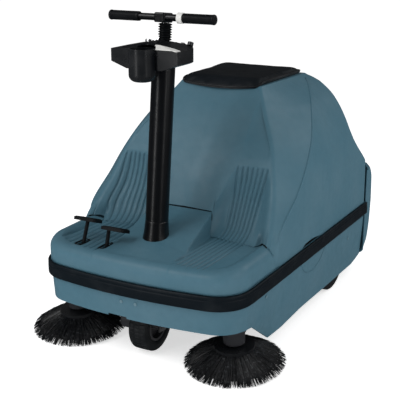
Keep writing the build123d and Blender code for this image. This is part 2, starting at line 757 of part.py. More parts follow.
def hopper_cover():
    """The rear body section: it slides out with the bin."""
    def form(inset):
        top, rear = HOPPER_TOP - inset, HOPPER_REAR - inset
        with BuildSketch(Plane.YZ) as side:
            with BuildLine():
                start = (back(BODY_SPLIT + 3), top)
                Polyline(start, (back(1356), top))
                shoulder = Spline((back(1356), top), (back(1404), top - 26), (back(rear - 8), 420),
                                  (back(rear), 310))
                under = Spline(shoulder @ 1, (back(rear - 10), 215),
                               (back(1402 - inset / 2), 122 + inset / 2),
                               (back(BODY_SPLIT + 3), SKIRT_PROFILE[-1][1] + inset))
                Line(under @ 1, start)
            make_face()
        prism = extrude(side.sketch, 480, both=True)
        half = REAR_HALF - BODY_INSET - inset + 2
        with BuildSketch() as plan:
            with BuildLine():
                y0, y1 = back(1200), back(rear)
                Polyline((-half, y0), (half, y0), (half, y1), (-half, y1), (-half, y0))
            make_face()
            fillet(plan.vertices().sort_by(Axis.Y)[2:], 32 - inset)
        return prism & extrude(plan.sketch, 600)
    cover = form(0) - form(WALL)
    web = box((-272, 272), (1390, 1394), (200, 280)) + box((-60, 60), (1393, HOPPER_REAR - 3), (230, 236))
    return cover + web


def hopper_handle():
    """A pull bar on two posts whose feet sit on the cover's curved rear."""
    posts = both(rod((70, HOPPER_REAR - 7, 400), (70, LENGTH - 8, 400), 6))
    grip_bar = cross_axle((-78, 78), LENGTH - 8, 400, 8)
    return posts + grip_bar - hopper_cover()


def batteries():
    cells = []
    for low in (-270, 4):
        case = box((low, low + 266), (518, 688), (277, 485))
        case = fillet(case.edges().filter_by(Axis.Z), 8)
        case += box((low + 8, low + 258), (526, 680), (485, 495))
        posts = rod((low + 40, 546, 495), (low + 40, 546, 510), 9)
        posts += rod((low + 226, 546, 495), (low + 226, 546, 510), 9)
        cells.append(case + posts)
    return Compound(children=cells)


def filter_plenum():
    plenum = box((-260, 260), (1006, 1304), (320, 384)) - box((-256, 256), (1010, 1300), (310, 380))
    return plenum - Pos(0, back(1150), 382) * Cylinder(50, 20)


def panel_filter():
    panel = box((-252, 252), (1014, 1296), (320, 372))
    for step in range(18):
        low = -238 + step * 27
        panel -= box((low, low + 13), (1024, 1286), (320, 352))
    return panel


def fan_housing():
    scroll = Pos(0, back(1150), 414) * Cylinder(105, 60) + box((0, 150), (1056, 1120), (392, 436))
    hollow = Pos(0, back(1150), 414) * Cylinder(99, 52) + box((0, 152), (1062, 1114), (396, 432))
    scroll -= hollow + Pos(0, back(1150), 388) * Cylinder(48, 20)
    motor = Pos(0, back(1150), 476) * Cylinder(55, 64)
    motor = fillet(motor.edges().sort_by(Axis.Z)[-1], 8)
    return scroll + motor - Pos(0, back(1150), 440) * Cylinder(8, 30)


def fan_impeller():
    wheel = Pos(0, back(1150), 430) * Cylinder(92, 3) + Pos(0, back(1150), 438) * Cylinder(8 - RUN, 20)
    for blade in range(8):
        wheel += Pos(0, back(1150), 414) * Rot(Z=45 * blade) * Pos(66, 0, 0) * Rot(Z=25) * Box(46, 3, 30)
    return wheel


def control_box():
    case = box((-384, -330), (672, 872), (285, 400))
    return fillet(case.edges().filter_by(Axis.Y), 6)


# Pedals

def pedal_bracket():
    y, z = PEDAL_PIVOT
    pin = cross_axle((-285, -125), y, z, 6)
    cheeks = None
    for x in ((-290, -284), (-206, -200), (-128, -122)):
        cheek = box(x, (y - 14, y + 14), (z - 40, z + 14))
        cheeks = cheek if cheeks is None else cheeks + cheek
    foot = box((-290, -122), (y - 14, y + 14), (z - 44, z - 38))
    rest = box((-180, -150), (y - 14, y + 14), (268, z - 40))
    return pin + cheeks + foot + rest


def pedal_lever(index):
    x = PEDAL_X[index]
    top = ((x, 143, 464), (x, 130, 449))[index]
    y, z = PEDAL_PIVOT
    boss = cross_axle((x - 12, x + 12), y, z, 13)
    lever = boss + rod((x, y, z), (x, 112, 392), 7) + rod((x, 112, 392), top, 7)
    lever += Pos(x, back(112), 392) * Sphere(7)
    return lever - cross_axle((x - 20, x + 20), y, z, 6 + RUN)


def pedal_pad(index):
    centre = ((-252, 145, 470), (-121, 130, 456))[index]
    plane = Plane(origin=(centre[0], back(centre[1]), centre[2]), x_dir=(1, 0, 0),
                  z_dir=(0, math.sin(math.radians(20)), math.cos(math.radians(20))))
    pad = fillet(Box(97, 58, 12).edges().filter_by(Axis.Z), 10)
    pad = plane * pad
    return pad - pedal_lever(index)


def build():
    save("main_frame", Compound(children=[main_frame(), *hopper_rails()]))
    save("lower_skirt", lower_skirt())
    save("skirt_screws", skirt_screws())
    save("bumper_band", bumper_band())
    save("front_deck", front_deck())
    save("hood_shell", hood_shell())
    save("hood_hand_grips", hand_grips())
    save("seat_board", seat_board())
    save("seat_pad", seat_pad())
    save("hood_hinge_leaf", hood_hinge_leaf())
    save("steering_column", steering_column())
    save("column_collar", column_collar())
    save("console_housing", console_housing())
    save("console_strip", console_strip())
    save("cup_holder", cup_holder())
    save("gauge_and_key_barrel", Compound(children=[battery_gauge(), key_barrel()]))
    save("ignition_key", ignition_key())
    save("horn_button", horn_button())
    save("direction_rocker", rocker_switches(42))
    save("broom_rocker", rocker_switches(70))
    save("stem_boot", stem_boot())
    save("handlebar", Compound(children=[handlebar(), bar_clamp()]))
    save("handlebar_grips", Compound(children=[grip(1), grip(-1)]))
    save("grip_collar", grip_collar())
    save("steering_fork", Compound(children=[steering_stem(), steering_fork(), front_axle()]))
    save("traction_motor", traction_motor())
    save("front_tyre", front_tyre())
    save("front_hub", front_hub())
    save("rear_stub_axles", rear_stub_axles())
    for name, side in (("left", 1), ("right", -1)):
        save("rear_tyre_" + name, rear_tyre() if side > 0 else mirrored_x(rear_tyre()))
        save("rear_hub_" + name, rear_hub() if side > 0 else mirrored_x(rear_hub()))
        save("side_broom_disc_" + name, broom_disc(side))
        save("side_broom_bristles_" + name, broom_bristles(side))
        save("side_broom_drive_" + name, Compound(children=[broom_arm(side), broom_motor(side)]))
    save("main_broom_core", main_broom_core())
    save("main_broom_bristles", main_broom_bristles())
    save("broom_housing", broom_housing())
    save("broom_housing_flaps", broom_housing_flaps())
    save("bushes_and_bearings", Compound(children=[*column_bushes(), *main_broom_bearings()]))
    save("main_broom_motor", main_broom_motor())
    save("motor_pulley", motor_pulley())
    save("broom_belt", broom_belt())
    save("rear_bulkhead", Compound(children=[rear_bulkhead(), body_hinge_leaf(), *hood_hinge_pins()]))
    save("hopper_bin", hopper_bin())
    save("hopper_cover", hopper_cover())
    save("hopper_handle", hopper_handle())
    save("batteries", batteries())
    save("filter_plenum", filter_plenum())
    save("panel_filter", panel_filter())
    save("fan_housing", fan_housing())
    save("fan_impeller", fan_impeller())
    save("control_box", control_box())
    save("pedal_bracket", pedal_bracket())
    for index, name in enumerate(("drive", "brake")):
        save(name + "_pedal", Compound(children=[pedal_lever(index), pedal_pad(index)]))


build()
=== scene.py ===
"""Looks of the ride-on sweeper: moulded skins, a stuffed seat and strand brooms on the CAD frame."""
import math
import random

import bmesh
import bpy
import numpy as np
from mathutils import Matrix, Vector


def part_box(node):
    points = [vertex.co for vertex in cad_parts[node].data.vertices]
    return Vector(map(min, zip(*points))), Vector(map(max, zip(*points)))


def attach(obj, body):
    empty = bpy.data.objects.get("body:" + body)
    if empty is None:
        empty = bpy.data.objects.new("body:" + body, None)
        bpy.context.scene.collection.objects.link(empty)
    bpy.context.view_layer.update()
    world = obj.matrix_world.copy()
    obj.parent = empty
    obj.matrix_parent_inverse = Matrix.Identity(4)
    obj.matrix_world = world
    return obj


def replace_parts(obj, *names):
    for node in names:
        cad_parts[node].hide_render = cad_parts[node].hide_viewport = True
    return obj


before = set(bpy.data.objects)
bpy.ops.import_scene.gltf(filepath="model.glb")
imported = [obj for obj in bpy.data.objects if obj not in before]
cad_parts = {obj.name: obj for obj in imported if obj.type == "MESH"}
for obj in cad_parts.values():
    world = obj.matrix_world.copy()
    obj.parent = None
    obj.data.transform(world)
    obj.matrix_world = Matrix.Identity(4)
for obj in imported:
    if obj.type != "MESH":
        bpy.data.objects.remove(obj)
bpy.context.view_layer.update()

MM = 0.001
BAND_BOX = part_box("bumper_band")
FRONT = BAND_BOX[0].y                    # front of the bumper; distances behind it are in millimetres
BAND_TOP = BAND_BOX[1].z / MM
SEAT_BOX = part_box("seat_pad")

# Body outline and hood shape, millimetres, as in the CAD model
FRONT_HALF, REAR_HALF, BOW, CORNER_R, INSET = 420, 436, 43, 134, 11
SPLIT = 1338
HOOD_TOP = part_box("hood_shell")[1].z / MM
FLOOR, RIM_R = 394, 38                   # footwell floor; radius of the deck's rounded edge
SEAM = 3.5                               # gap between deck and hood


def place(x, d, z):
    """Arrays or numbers in millimetres (d is the distance behind the bumper's front) to frame metres."""
    x, d, z = np.broadcast_arrays(np.asarray(x, float), np.asarray(d, float), np.asarray(z, float))
    return np.stack([x * MM, FRONT + d * MM, z * MM], axis=-1)


def smooth(low, high, value):
    t = np.clip((np.asarray(value, float) - low) / (high - low), 0, 1)
    return t * t * (3 - 2 * t)


def curve(points):
    """A smooth function through (input, output) points that doesn't overshoot."""
    x, y = np.array(points, float).T
    h, slope = np.diff(x), np.diff(y) / np.diff(x)
    m = np.zeros(len(x))
    m[0], m[-1] = slope[0], slope[-1]
    for i in range(1, len(x) - 1):
        if slope[i - 1] * slope[i] > 0:
            a, b = 2 * h[i] + h[i - 1], h[i] + 2 * h[i - 1]
            m[i] = (a + b) / (a / slope[i - 1] + b / slope[i])

    def value(at):
        at = np.clip(np.asarray(at, float), x[0], x[-1])
        i = np.clip(np.searchsorted(x, at, side="right") - 1, 0, len(x) - 2)
        t = (at - x[i]) / h[i]
        return ((1 + 2 * t) * (1 - t) ** 2 * y[i] + t * (1 - t) ** 2 * h[i] * m[i]
                + t * t * (3 - 2 * t) * y[i + 1] + t * t * (t - 1) * h[i] * m[i + 1])
    return value


# ---- meshes

def new_mesh(name, points, faces, body, material):
    mesh = bpy.data.meshes.new(name)
    mesh.from_pydata([tuple(p) for p in points], [], faces)
    mesh.validate()
    mesh.polygons.foreach_set("use_smooth", [True] * len(mesh.polygons))
    mesh.update()
    piece = bpy.data.objects.new(name, mesh)
    bpy.context.scene.collection.objects.link(piece)
    piece.data.materials.append(material)
    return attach(piece, body)


def grid_faces(rows, columns, first=0, wrap=False):
    faces = []
    for r in range(rows - 1):
        for c in range(columns if wrap else columns - 1):
            n = (c + 1) % columns
            a, b = first + r * columns + c, first + r * columns + n
            faces.append((a, b, b + columns, a + columns))
    return faces


def bevel(piece, width, segments):
    modifier = piece.modifiers.new("soft_edges", "BEVEL")
    modifier.width = width * MM
    modifier.segments = segments
    modifier.limit_method = "ANGLE"
    modifier.angle_limit = math.radians(35)
    modifier.harden_normals = False


def thicken(piece, amount):
    modifier = piece.modifiers.new("wall", "SOLIDIFY")
    modifier.thickness = amount * MM
    modifier.offset = -1
    modifier.use_even_offset = False
    return piece


# ---- materials

class Look:
    """A Principled material whose colour, roughness and bump come from noise in the object's own space."""

    def __init__(self, name, colour, roughness, metallic=0.0, specular=0.5, coat=0.0, coat_roughness=0.1):
        self.material = bpy.data.materials.new(name)
        self.material.use_nodes = True
        self.nodes, self.links = self.material.node_tree.nodes, self.material.node_tree.links
        self.shader = self.nodes["Principled BSDF"]
        self.shader.inputs["Metallic"].default_value = metallic
        self.shader.inputs["Specular IOR Level"].default_value = specular
        self.shader.inputs["Coat Weight"].default_value = coat
        self.shader.inputs["Coat Roughness"].default_value = coat_roughness
        self.shader.inputs["Base Color"].default_value = (*colour, 1)
        self.shader.inputs["Roughness"].default_value = roughness
        self.colour = colour
        self.space = self.nodes.new("ShaderNodeTexCoord").outputs["Object"]
        self.normal = None

    def stretch(self, scale):
        node = self.nodes.new("ShaderNodeMapping")
        node.inputs["Scale"].default_value = scale
        self.links.new(self.space, node.inputs["Vector"])
        return node.outputs["Vector"]

    def noise(self, scale, detail=4, vector=None):
        node = self.nodes.new("ShaderNodeTexNoise")
        node.inputs["Scale"].default_value = scale
        node.inputs["Detail"].default_value = detail
        node.inputs["Roughness"].default_value = 0.6
        self.links.new(vector or self.space, node.inputs["Vector"])
        return node.outputs["Fac"]

    def cells(self, scale):
        node = self.nodes.new("ShaderNodeTexVoronoi")
        node.feature = "DISTANCE_TO_EDGE"
        node.inputs["Scale"].default_value = scale
        self.links.new(self.space, node.inputs["Vector"])
        return node.outputs["Distance"]

    def wave(self, scale, direction):
        node = self.nodes.new("ShaderNodeTexWave")
        node.bands_direction = direction
        node.inputs["Scale"].default_value = scale
        self.links.new(self.space, node.inputs["Vector"])
        return node.outputs["Fac"]

    def ramp(self, source, low, high, start=0.0, end=1.0):
        """Remaps a texture value to start..end between low and high."""
        node = self.nodes.new("ShaderNodeMapRange")
        node.inputs["From Min"].default_value = low
        node.inputs["From Max"].default_value = high
        node.inputs["To Min"].default_value = start
        node.inputs["To Max"].default_value = end
        self.links.new(source, node.inputs["Value"])
        return node.outputs["Result"]

    def tint(self, factor, colour):
        """Mixes another colour over the present one by factor."""
        node = self.nodes.new("ShaderNodeMix")
        node.data_type = "RGBA"
        socket = self.shader.inputs["Base Color"]
        if socket.links:
            self.links.new(socket.links[0].from_socket, node.inputs["A"])
        else:
            node.inputs["A"].default_value = (*self.colour, 1)
        node.inputs["B"].default_value = (*colour, 1)
        self.links.new(factor, node.inputs["Factor"])
        self.links.new(node.outputs["Result"], socket)
        return self

    def rough(self, factor, low, high):
        self.links.new(self.ramp(factor, 0, 1, low, high), self.shader.inputs["Roughness"])
        return self

    def bump(self, height, distance, strength=1.0):
        node = self.nodes.new("ShaderNodeBump")
        node.inputs["Distance"].default_value = distance * MM
        node.inputs["Strength"].default_value = strength
        self.links.new(height, node.inputs["Height"])
        if self.normal:
            self.links.new(self.normal, node.inputs["Normal"])
        self.normal = node.outputs["Normal"]
        self.links.new(self.normal, self.shader.inputs["Normal"])
        return self


def mix(a, b, t):
    return tuple(x + (y - x) * t for x, y in zip(a, b))


def moulded(name, colour, roughness=0.42, grain=900, depth=0.05, wear=0.25, specular=0.22, **more):
    """Moulded plastic: a fine pebble grain, cloudy colour and duller rubbed patches."""
    look = Look(name, colour, roughness, specular=specular, **more)
    clouds = look.noise(5, 3)
    look.tint(look.ramp(clouds, 0.35, 0.75, 0, 0.5), mix(colour, (1, 1, 1), 0.035))
    look.tint(look.ramp(look.noise(38, 6), 0.42, 0.75, 0, wear), mix(colour, (0, 0, 0), 0.16))
    scuffs = look.noise(26, 7)
    look.rough(look.ramp(scuffs, 0.35, 0.7), roughness - 0.05, roughness + 0.09)
    look.bump(look.noise(grain, 2), depth)
    look.bump(look.noise(3.2, 2), 1.1, 0.6)
    return look


def painted(name, colour, roughness=0.3, **more):
    """Sprayed metal with slight orange peel and rubbed spots."""
    look = Look(name, colour, roughness, **more)
    look.tint(look.ramp(look.noise(30, 8), 0.6, 0.8, 0, 0.35), mix(colour, (0.5, 0.5, 0.5), 0.12))
    look.rough(look.noise(45, 6), roughness - 0.06, roughness + 0.1)
    look.bump(look.noise(260, 2), 0.05)
    return look


def metal(name, colour=(0.56, 0.57, 0.58), roughness=0.32, direction=(40, 40, 900)):
    look = Look(name, colour, roughness, metallic=1.0)
    brushed = look.noise(1, 4, vector=look.stretch(direction))
    look.tint(look.ramp(look.noise(55, 6), 0.55, 0.75, 0, 0.5), mix(colour, (0.2, 0.16, 0.12), 0.45))
    look.rough(brushed, roughness - 0.08, roughness + 0.16)
    look.bump(brushed, 0.03)
    return look


def rubber(name, colour, roughness=0.55, grain=520, depth=0.08, dust=0.3):
    look = Look(name, colour, roughness, specular=0.16)
    look.tint(look.ramp(look.noise(14, 7), 0.5, 0.72, 0, dust), mix(colour, (1, 1, 1), 0.012))
    look.rough(look.noise(60, 5), roughness - 0.08, roughness + 0.12)
    look.bump(look.noise(grain, 3), depth)
    return look


BLUE = (0.056, 0.137, 0.184)
blue = moulded("blue_plastic", BLUE, 0.4, wear=0.3)
skirt_blue = moulded("blue_skirt", BLUE, 0.42, wear=0.35)
band_rubber = rubber("band_rubber", (0.0036, 0.007, 0.0105), 0.42, 700, 0.05, 0.5)
soft_rubber = rubber("soft_rubber", (0.004, 0.005, 0.0062), 0.42)
tyre = rubber("tyre_rubber", (0.009, 0.0105, 0.012), 0.42, 300, 0.12, 0.8)
black = moulded("black_plastic", (0.0035, 0.0045, 0.006), 0.3, 1100, 0.04, 0.2, specular=0.3)
piping = moulded("vinyl_piping", (0.004, 0.005, 0.007), 0.34, 700, 0.03, 0.1, specular=0.35)
gloss_black = Look("column_paint", (0.001, 0.0016, 0.0028), 0.3, specular=0.4)
gloss_black.tint(gloss_black.ramp(gloss_black.noise(18, 5), 0.55, 0.85, 0, 0.5), (0.003, 0.004, 0.0055))
gloss_black.rough(gloss_black.noise(8, 3), 0.27, 0.33)
gloss_black.bump(gloss_black.noise(14, 1), 0.01)
frame_paint = painted("frame_paint", (0.012, 0.012, 0.013), 0.38)
steel = metal("zinc_steel")
# The screw heads get a light blue-grey non-metal paint: painted reflection for the light rings that metal
# heads show.
screw_head = painted("screw_head", (0.11, 0.19, 0.23), 0.28)
chrome = metal("key_nickel", (0.72, 0.72, 0.73), 0.16, (200, 200, 200))
motor = painted("motor_enamel", (0.022, 0.023, 0.027), 0.36)
# White for the grip collar; on the console strip the same white is a painted highlight standing for the glint
# on the console's right chamfer.
white = moulded("white_plastic", (0.72, 0.72, 0.7), 0.4, 900, 0.04, 0.15)
button = moulded("horn_button", (0.012, 0.014, 0.017), 0.25, 900, 0.02, 0.1, coat=0.4)
bristle = Look("bristle", (0.003, 0.0038, 0.0055), 0.3, specular=0.5)
# Lighter strands in random patches: painted glints on the bristles.
bristle.tint(bristle.ramp(bristle.noise(90, 3), 0.56, 0.66, 0, 0.9), (0.05, 0.055, 0.06))
bristle.rough(bristle.noise(200, 3), 0.26, 0.5)
bristle.bump(bristle.noise(1, 3, vector=bristle.stretch((700, 700, 120))), 0.3)
paper = Look("filter_paper", (0.6, 0.55, 0.44), 0.85)
paper.tint(paper.ramp(paper.noise(40, 6), 0.45, 0.75, 0, 0.6), (0.35, 0.31, 0.24))
paper.bump(paper.wave(60, "X"), 1.0)
case = moulded("battery_case", (0.028, 0.028, 0.03), 0.45, 600, 0.08)
hub = moulded("hub_nylon", (0.03, 0.03, 0.033), 0.4, 700, 0.08)
vinyl = Look("seat_vinyl", (0.0045, 0.0068, 0.0095), 0.5, specular=0.16)
vinyl.tint(vinyl.ramp(vinyl.noise(9, 6), 0.45, 0.8, 0, 0.6), (0.009, 0.012, 0.016))
vinyl.rough(vinyl.noise(24, 6), 0.42, 0.62)
vinyl.bump(vinyl.cells(560), 0.12, 0.7)
vinyl.bump(vinyl.noise(26, 4), 0.6, 0.5)

FINISH = {
    frame_paint: "main_frame broom_housing rear_bulkhead filter_plenum",
    skirt_blue: "lower_skirt",
    screw_head: "skirt_screws",
    band_rubber: "bumper_band",
    blue: "front_deck hood_shell hopper_cover",
    black: "hood_hand_grips seat_board console_housing cup_holder direction_rocker broom_rocker "
           "side_broom_disc_left side_broom_disc_right fan_housing fan_impeller",
    vinyl: "seat_pad",
    steel: "hood_hinge_leaf bushes_and_bearings steering_fork rear_stub_axles main_broom_core motor_pulley "
           "pedal_bracket",
    gloss_black: "steering_column handlebar hopper_handle",
    soft_rubber: "column_collar stem_boot handlebar_grips broom_housing_flaps broom_belt drive_pedal "
                 "brake_pedal",
    # console_strip: painted highlight in white along the console's right chamfer; grip_collar: a white ring
    white: "console_strip grip_collar",
    chrome: "gauge_and_key_barrel ignition_key",
    button: "horn_button",
    motor: "traction_motor side_broom_drive_left side_broom_drive_right main_broom_motor",
    tyre: "front_tyre rear_tyre_left rear_tyre_right",
    hub: "front_hub rear_hub_left rear_hub_right",
    bristle: "side_broom_bristles_left side_broom_bristles_right main_broom_bristles",
    case: "hopper_bin batteries control_box",
    paper: "panel_filter",
}
for look, names in FINISH.items():
    for name in names.split():
        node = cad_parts[name]
        node.data.materials.clear()
        node.data.materials.append(look.material)


# ---- hood

ridge_x = curve([(334, 396), (415, 389), (560, 358), (705, 310), (826, 234), (915, 178), (930, 170)])
ridge_y = curve([(334, 366), (397, 342), (415, 350), (560, 466), (705, 548), (826, 640), (915, 719)])
crease_y = curve([(334, 398), (415, 385), (560, 560), (705, 732), (826, 888), (915, 1102)])
wall_x = curve([(334, 452), (430, 436), (600, 414), (712, 388), (824, 326), (878, 266), (915, 200)])
front_y = curve([(397, 396), (478, 425), (635, 503), (799, 620), (880, 692), (915, 724)])
rear_y = curve([(516, 1338), (540, 1310), (600, 1240), (648, 1198), (700, 1173), (755, 1163), (880, 1161),
                (900, 1152), (915, 1130)])
shin_y = curve([(397, 446), (480, 474), (520, 484), (560, 493), (600, 503), (650, 513), (700, 548),
                (915, 724)])
recess_edge = curve([(394, 136), (480, 124), (565, 150), (650, 178), (700, 186)])
seam_d = curve([(318, 373), (334, 368), (340, 365), (370, 348), (397, 337), (412, 336.5)])
grip_edge = curve([(598, 0), (604, 0.5), (648, 12), (700, 13), (800, 2), (815, 0), (900, 0)])
TREADS = {
    1: {"count": 7, "front": (149, 271), "seam": (172, 281),
        "inner": ((397, 176), (430, 183), (519, 183), (645, 185)),
        "outer": ((397, 281), (425, 284), (519, 288), (645, 306)),
        "teeth": ((140, 73), (172, 68), (216, 60), (271, 57), (300, 60))},
    -1: {"count": 9, "front": (136, 347), "seam": (151, 332),
         "inner": ((397, 151), (519, 150), (645, 150)),
         "outer": ((397, 332), (450, 336), (531, 323), (645, 313)),
         "teeth": ((130, 50), (190, 57), (241, 69), (291, 80), (347, 107))},
}


def plan_half(d):
    return FRONT_HALF - INSET + (REAR_HALF - FRONT_HALF) * (d - BOW) / (SPLIT - BOW)


def side_x(d, z):
    a, b, soft = wall_x(z), plan_half(d), 5.0
    low = np.minimum(a, b)
    return low - soft * np.log(np.exp(-(a - low) / soft) + np.exp(-(b - low) / soft))


def shin_depth(x, z):
    """How far the leg recess lies behind the front panel."""
    toe = 50.0
    rise = np.clip(toe - (z - 397), 0, toe)
    bottom = shin_y(z) - (toe - np.sqrt(toe * toe - rise * rise))
    edge = recess_edge(z)
    across = 1 - (1 - np.clip((x - edge) / 44, 0, 1)) ** 1.7
    across = across * (1 - smooth(292, np.maximum(ridge_x(z) - 12, 300), x))
    return np.maximum(bottom - front_y(z), 0) * across


def groove(x, lines, width):
    """Depth, 0 to 1, of a row of narrow rounded grooves."""
    cut = np.zeros(np.broadcast(x, lines[0]).shape)
    for line in lines:
        cut = np.maximum(cut, np.exp(-((x - line) / width) ** 2))
    return cut


def relief(x, lines, width, depth):
    """Depth of the grooves along the lines, with the slight crown of the ribs between them."""
    pitch = lines[1] - lines[0]
    inside = (x > lines[0] - pitch * 0.6) & (x < lines[-1] + pitch * 0.6)
    crown = np.where(inside, 0.8 * np.cos((x - lines[0]) / pitch * 2 * math.pi), 0)
    return groove(x, lines, width) * depth + crown


def grid_normals(points):
    normal = np.cross(np.gradient(points, axis=1), np.gradient(points, axis=0))
    return normal / np.maximum(np.linalg.norm(normal, axis=-1, keepdims=True), 1e-9)


def mirrored(right):
    """A grid of points with its mirror image on the other side of its first column."""
    left = right[:, :0:-1].copy()
    left[..., 0] *= -1
    return np.concatenate([left, right], axis=1)


def tread_lines(side, z):
    tread = TREADS[side]
    inner, outer = curve(tread["inner"])(z), curve(tread["outer"])(z)
    return [inner + (outer - inner) * k / (tread["count"] - 1) for k in range(tread["count"])]


def corner(p, a, b, cut, steps):
    """A round corner at p between points a and b: steps positions, without its two ends."""
    da, db = a - p, b - p
    la, lb = np.linalg.norm(da, axis=-1, keepdims=True), np.linalg.norm(db, axis=-1, keepdims=True)
    c = np.minimum(cut, np.minimum(0.46 * la, 0.46 * lb))
    start, end = p + da / np.maximum(la, 1e-6) * c, p + db / np.maximum(lb, 1e-6) * c
    t = np.linspace(0, 1, steps)[:, None, None]
    return start, (1 - t) ** 2 * start + 2 * t * (1 - t) * p + t * t * end, end


LOW = BAND_TOP + 2.5                     # lower edge of the hood above the band
RIDGE_CUT, CREASE_CUT = 14, 8           # how far the hood's two rounded creases reach to each side
HOOD_SEAM = [(371, 351, 413), (386, 337.5, 412), (402, 337, 397), (408, 348, 370), (409, 365, 340),
             (409.2, 373, LOW), (409.4, 397, LOW)]


def along(points, shares):
    points = np.array(points, float)
    run = np.concatenate([[0], np.cumsum(np.linalg.norm(np.diff(points, axis=0), axis=1))])
    return np.stack([np.interp(np.asarray(shares) * run[-1], run, points[:, i]) for i in range(3)], axis=-1)


def hood_half(side):
    """Half of the hood as rows of (x, distance behind the bumper, z); each side has its own treads."""
    nf, ns, nr = 168, 150, 36            # columns of the front, the side and half the rear
    share = 50 * (1 - np.cos(np.linspace(0, math.pi / 2, 16)))

    def levels(low):
        """Heights of the rows of a column that starts at low."""
        toe = low + share
        body = np.linspace(low + 50, 862, 94)[1:-1]
        dome = 862 + (HOOD_TOP - 862) * np.sin(np.linspace(0, math.pi / 2, 19))[1:]
        return np.concatenate([toe, body, dome])

    def section(z):
        ridge = np.stack([ridge_x(z), ridge_y(z)], -1)
        crease = np.stack([side_x(crease_y(z), z), crease_y(z)], -1)
        rear = np.where(z > 516, rear_y(z), SPLIT)
        back_corner = np.stack([side_x(rear, z), rear], -1)
        centre = np.stack([np.zeros_like(z), front_y(z)], -1)
        tail = np.stack([np.zeros_like(z), rear], -1)
        return centre, ridge, crease, back_corner, tail

    def low_of(x):
        return np.interp(x, [0, 122, 126, 136, 340, 345, 356, 371, 386],
                         [483.5, 483.5, 478, 397.5, 397.5, 402, 411, 413, 412])

    columns = []
    for u in np.linspace(0, 1, nf):
        low = 400.0
        for _ in range(12):
            at = np.array([low])
            c, r, k, _b, _t = section(at)
            start = corner(r, c, k, RIDGE_CUT, 2)[0][0]
            low = 0.5 * low + 0.5 * float(low_of(u * start[0]))
        z = levels(low)
        c, r, k, _b, _t = section(z)
        start = corner(r, c, k, RIDGE_CUT, 2)[0]
        x = u * start[:, 0]
        span = np.clip(x / np.maximum(start[:, 0], 1), 0, 1)
        y = c[:, 1] + (start[:, 1] - c[:, 1]) * (0.85 * span + 0.15 * span ** 2) - 5 * (1 - span ** 2) * span
        y = y + shin_depth(x, z)
        foot = np.interp(x[0], [0, 330, 345, 356, 371], [y[0], y[0], 384, 368, 350]) if x[0] > 330 else y[0]
        y = y + (foot - y[0]) * (1 - smooth(0, 60, z - z[0]))
        columns.append(np.stack([x, y, z], -1))
    front_count = len(columns)
    steps_ridge, steps_facet, steps_crease = 10, 18, 9
    total = steps_ridge + steps_facet + steps_crease
    marks = np.linspace(0, 1, total + 1)[1:]
    for index, mark in enumerate(marks):
        target = along(HOOD_SEAM, [mark])[0]
        z = levels(target[2])
        c, r, k, b, _t = section(z)
        _r0, ridge_arc, r1 = corner(r, c, k, RIDGE_CUT, steps_ridge + 1)
        k0, crease_arc, _k1 = corner(k, r, b, CREASE_CUT, steps_crease + 1)
        if index < steps_ridge:
            xy = ridge_arc[index + 1]
        elif index < steps_ridge + steps_facet:
            t = (index - steps_ridge + 1) / (steps_facet + 1)
            xy = r1 + (k0 - r1) * t
        else:
            xy = crease_arc[index - steps_ridge - steps_facet + 1]
        fade = (1 - smooth(0, 70, z - z[0]))[:, None]
        xy = xy + (target[:2] - xy[0]) * fade
        columns.append(np.concatenate([xy, z[:, None]], -1))
    for t in np.linspace(0, 1, ns + 1)[1:]:
        rise = float(grip_edge(397 + (SPLIT - 397) * t))
        z = levels(LOW + rise)
        c, r, k, b, t_ = section(z)
        k1 = corner(k, r, b, CREASE_CUT, 3)[2]
        b0 = corner(b, k, t_, 26, 3)[0]
        xy = k1 + (b0 - k1) * t
        xy[:, 0] = np.where(t < 1, side_x(xy[:, 1], z) * (1 - t ** 8) + xy[:, 0] * t ** 8, xy[:, 0])
        columns.append(np.concatenate([xy, z[:, None]], -1))
    z = levels(LOW)
    c, r, k, b, t_ = section(z)
    back_arc = corner(b, k, t_, 26, 11)[1]
    for i in range(1, 11):
        columns.append(np.concatenate([back_arc[i], z[:, None]], -1))
    z = levels(518)
    c, r, k, b, t_ = section(z)
    b1 = corner(b, k, t_, 26, 3)[2]
    for t in np.linspace(0, 1, nr + 1)[1:]:
        xy = b1 + (t_ - b1) * t
        columns.append(np.concatenate([xy, z[:, None]], -1))
    points = np.stack(columns, axis=1)
    x, z = points[..., 0], points[..., 2]
    front = np.zeros_like(x)
    front[:, :front_count] = 1 - smooth(640, 649, z[:, :front_count])
    points = points - grid_normals(points) * (relief(x, tread_lines(side, z), 2.7, 5.2) * front)[..., None]
    points[..., 0] *= side
    return points


def hood_skin():
    right, left = hood_half(1), hood_half(-1)
    rows = right.shape[0]
    # from the rear centre along one side to the front and back along the other
    ring = np.concatenate([left[:, ::-1], right[:, 1:-1]], axis=1)
    points = [place(*p.T) for p in ring]
    around = ring.shape[1]
    faces = grid_faces(rows, around, wrap=True)
    flat = np.concatenate(points)
    top = ring[-1]
    centre = np.array([0, 930, HOOD_TOP])
    for share in (0.985, 0.94):
        inner = centre + (top - centre) * share
        inner[:, 2] = HOOD_TOP + 0.4
        first = len(flat)
        flat = np.concatenate([flat, place(*inner.T)])
        previous = first - around
        for c in range(around):
            n = (c + 1) % around
            faces.append((previous + c, previous + n, first + n, first + c))
    faces.append(tuple(range(first, first + around)))
    skin = new_mesh("hood_skin", flat, faces, "hood", blue.material)
    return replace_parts(thicken(tidy(skin), 4.5), "hood_shell")


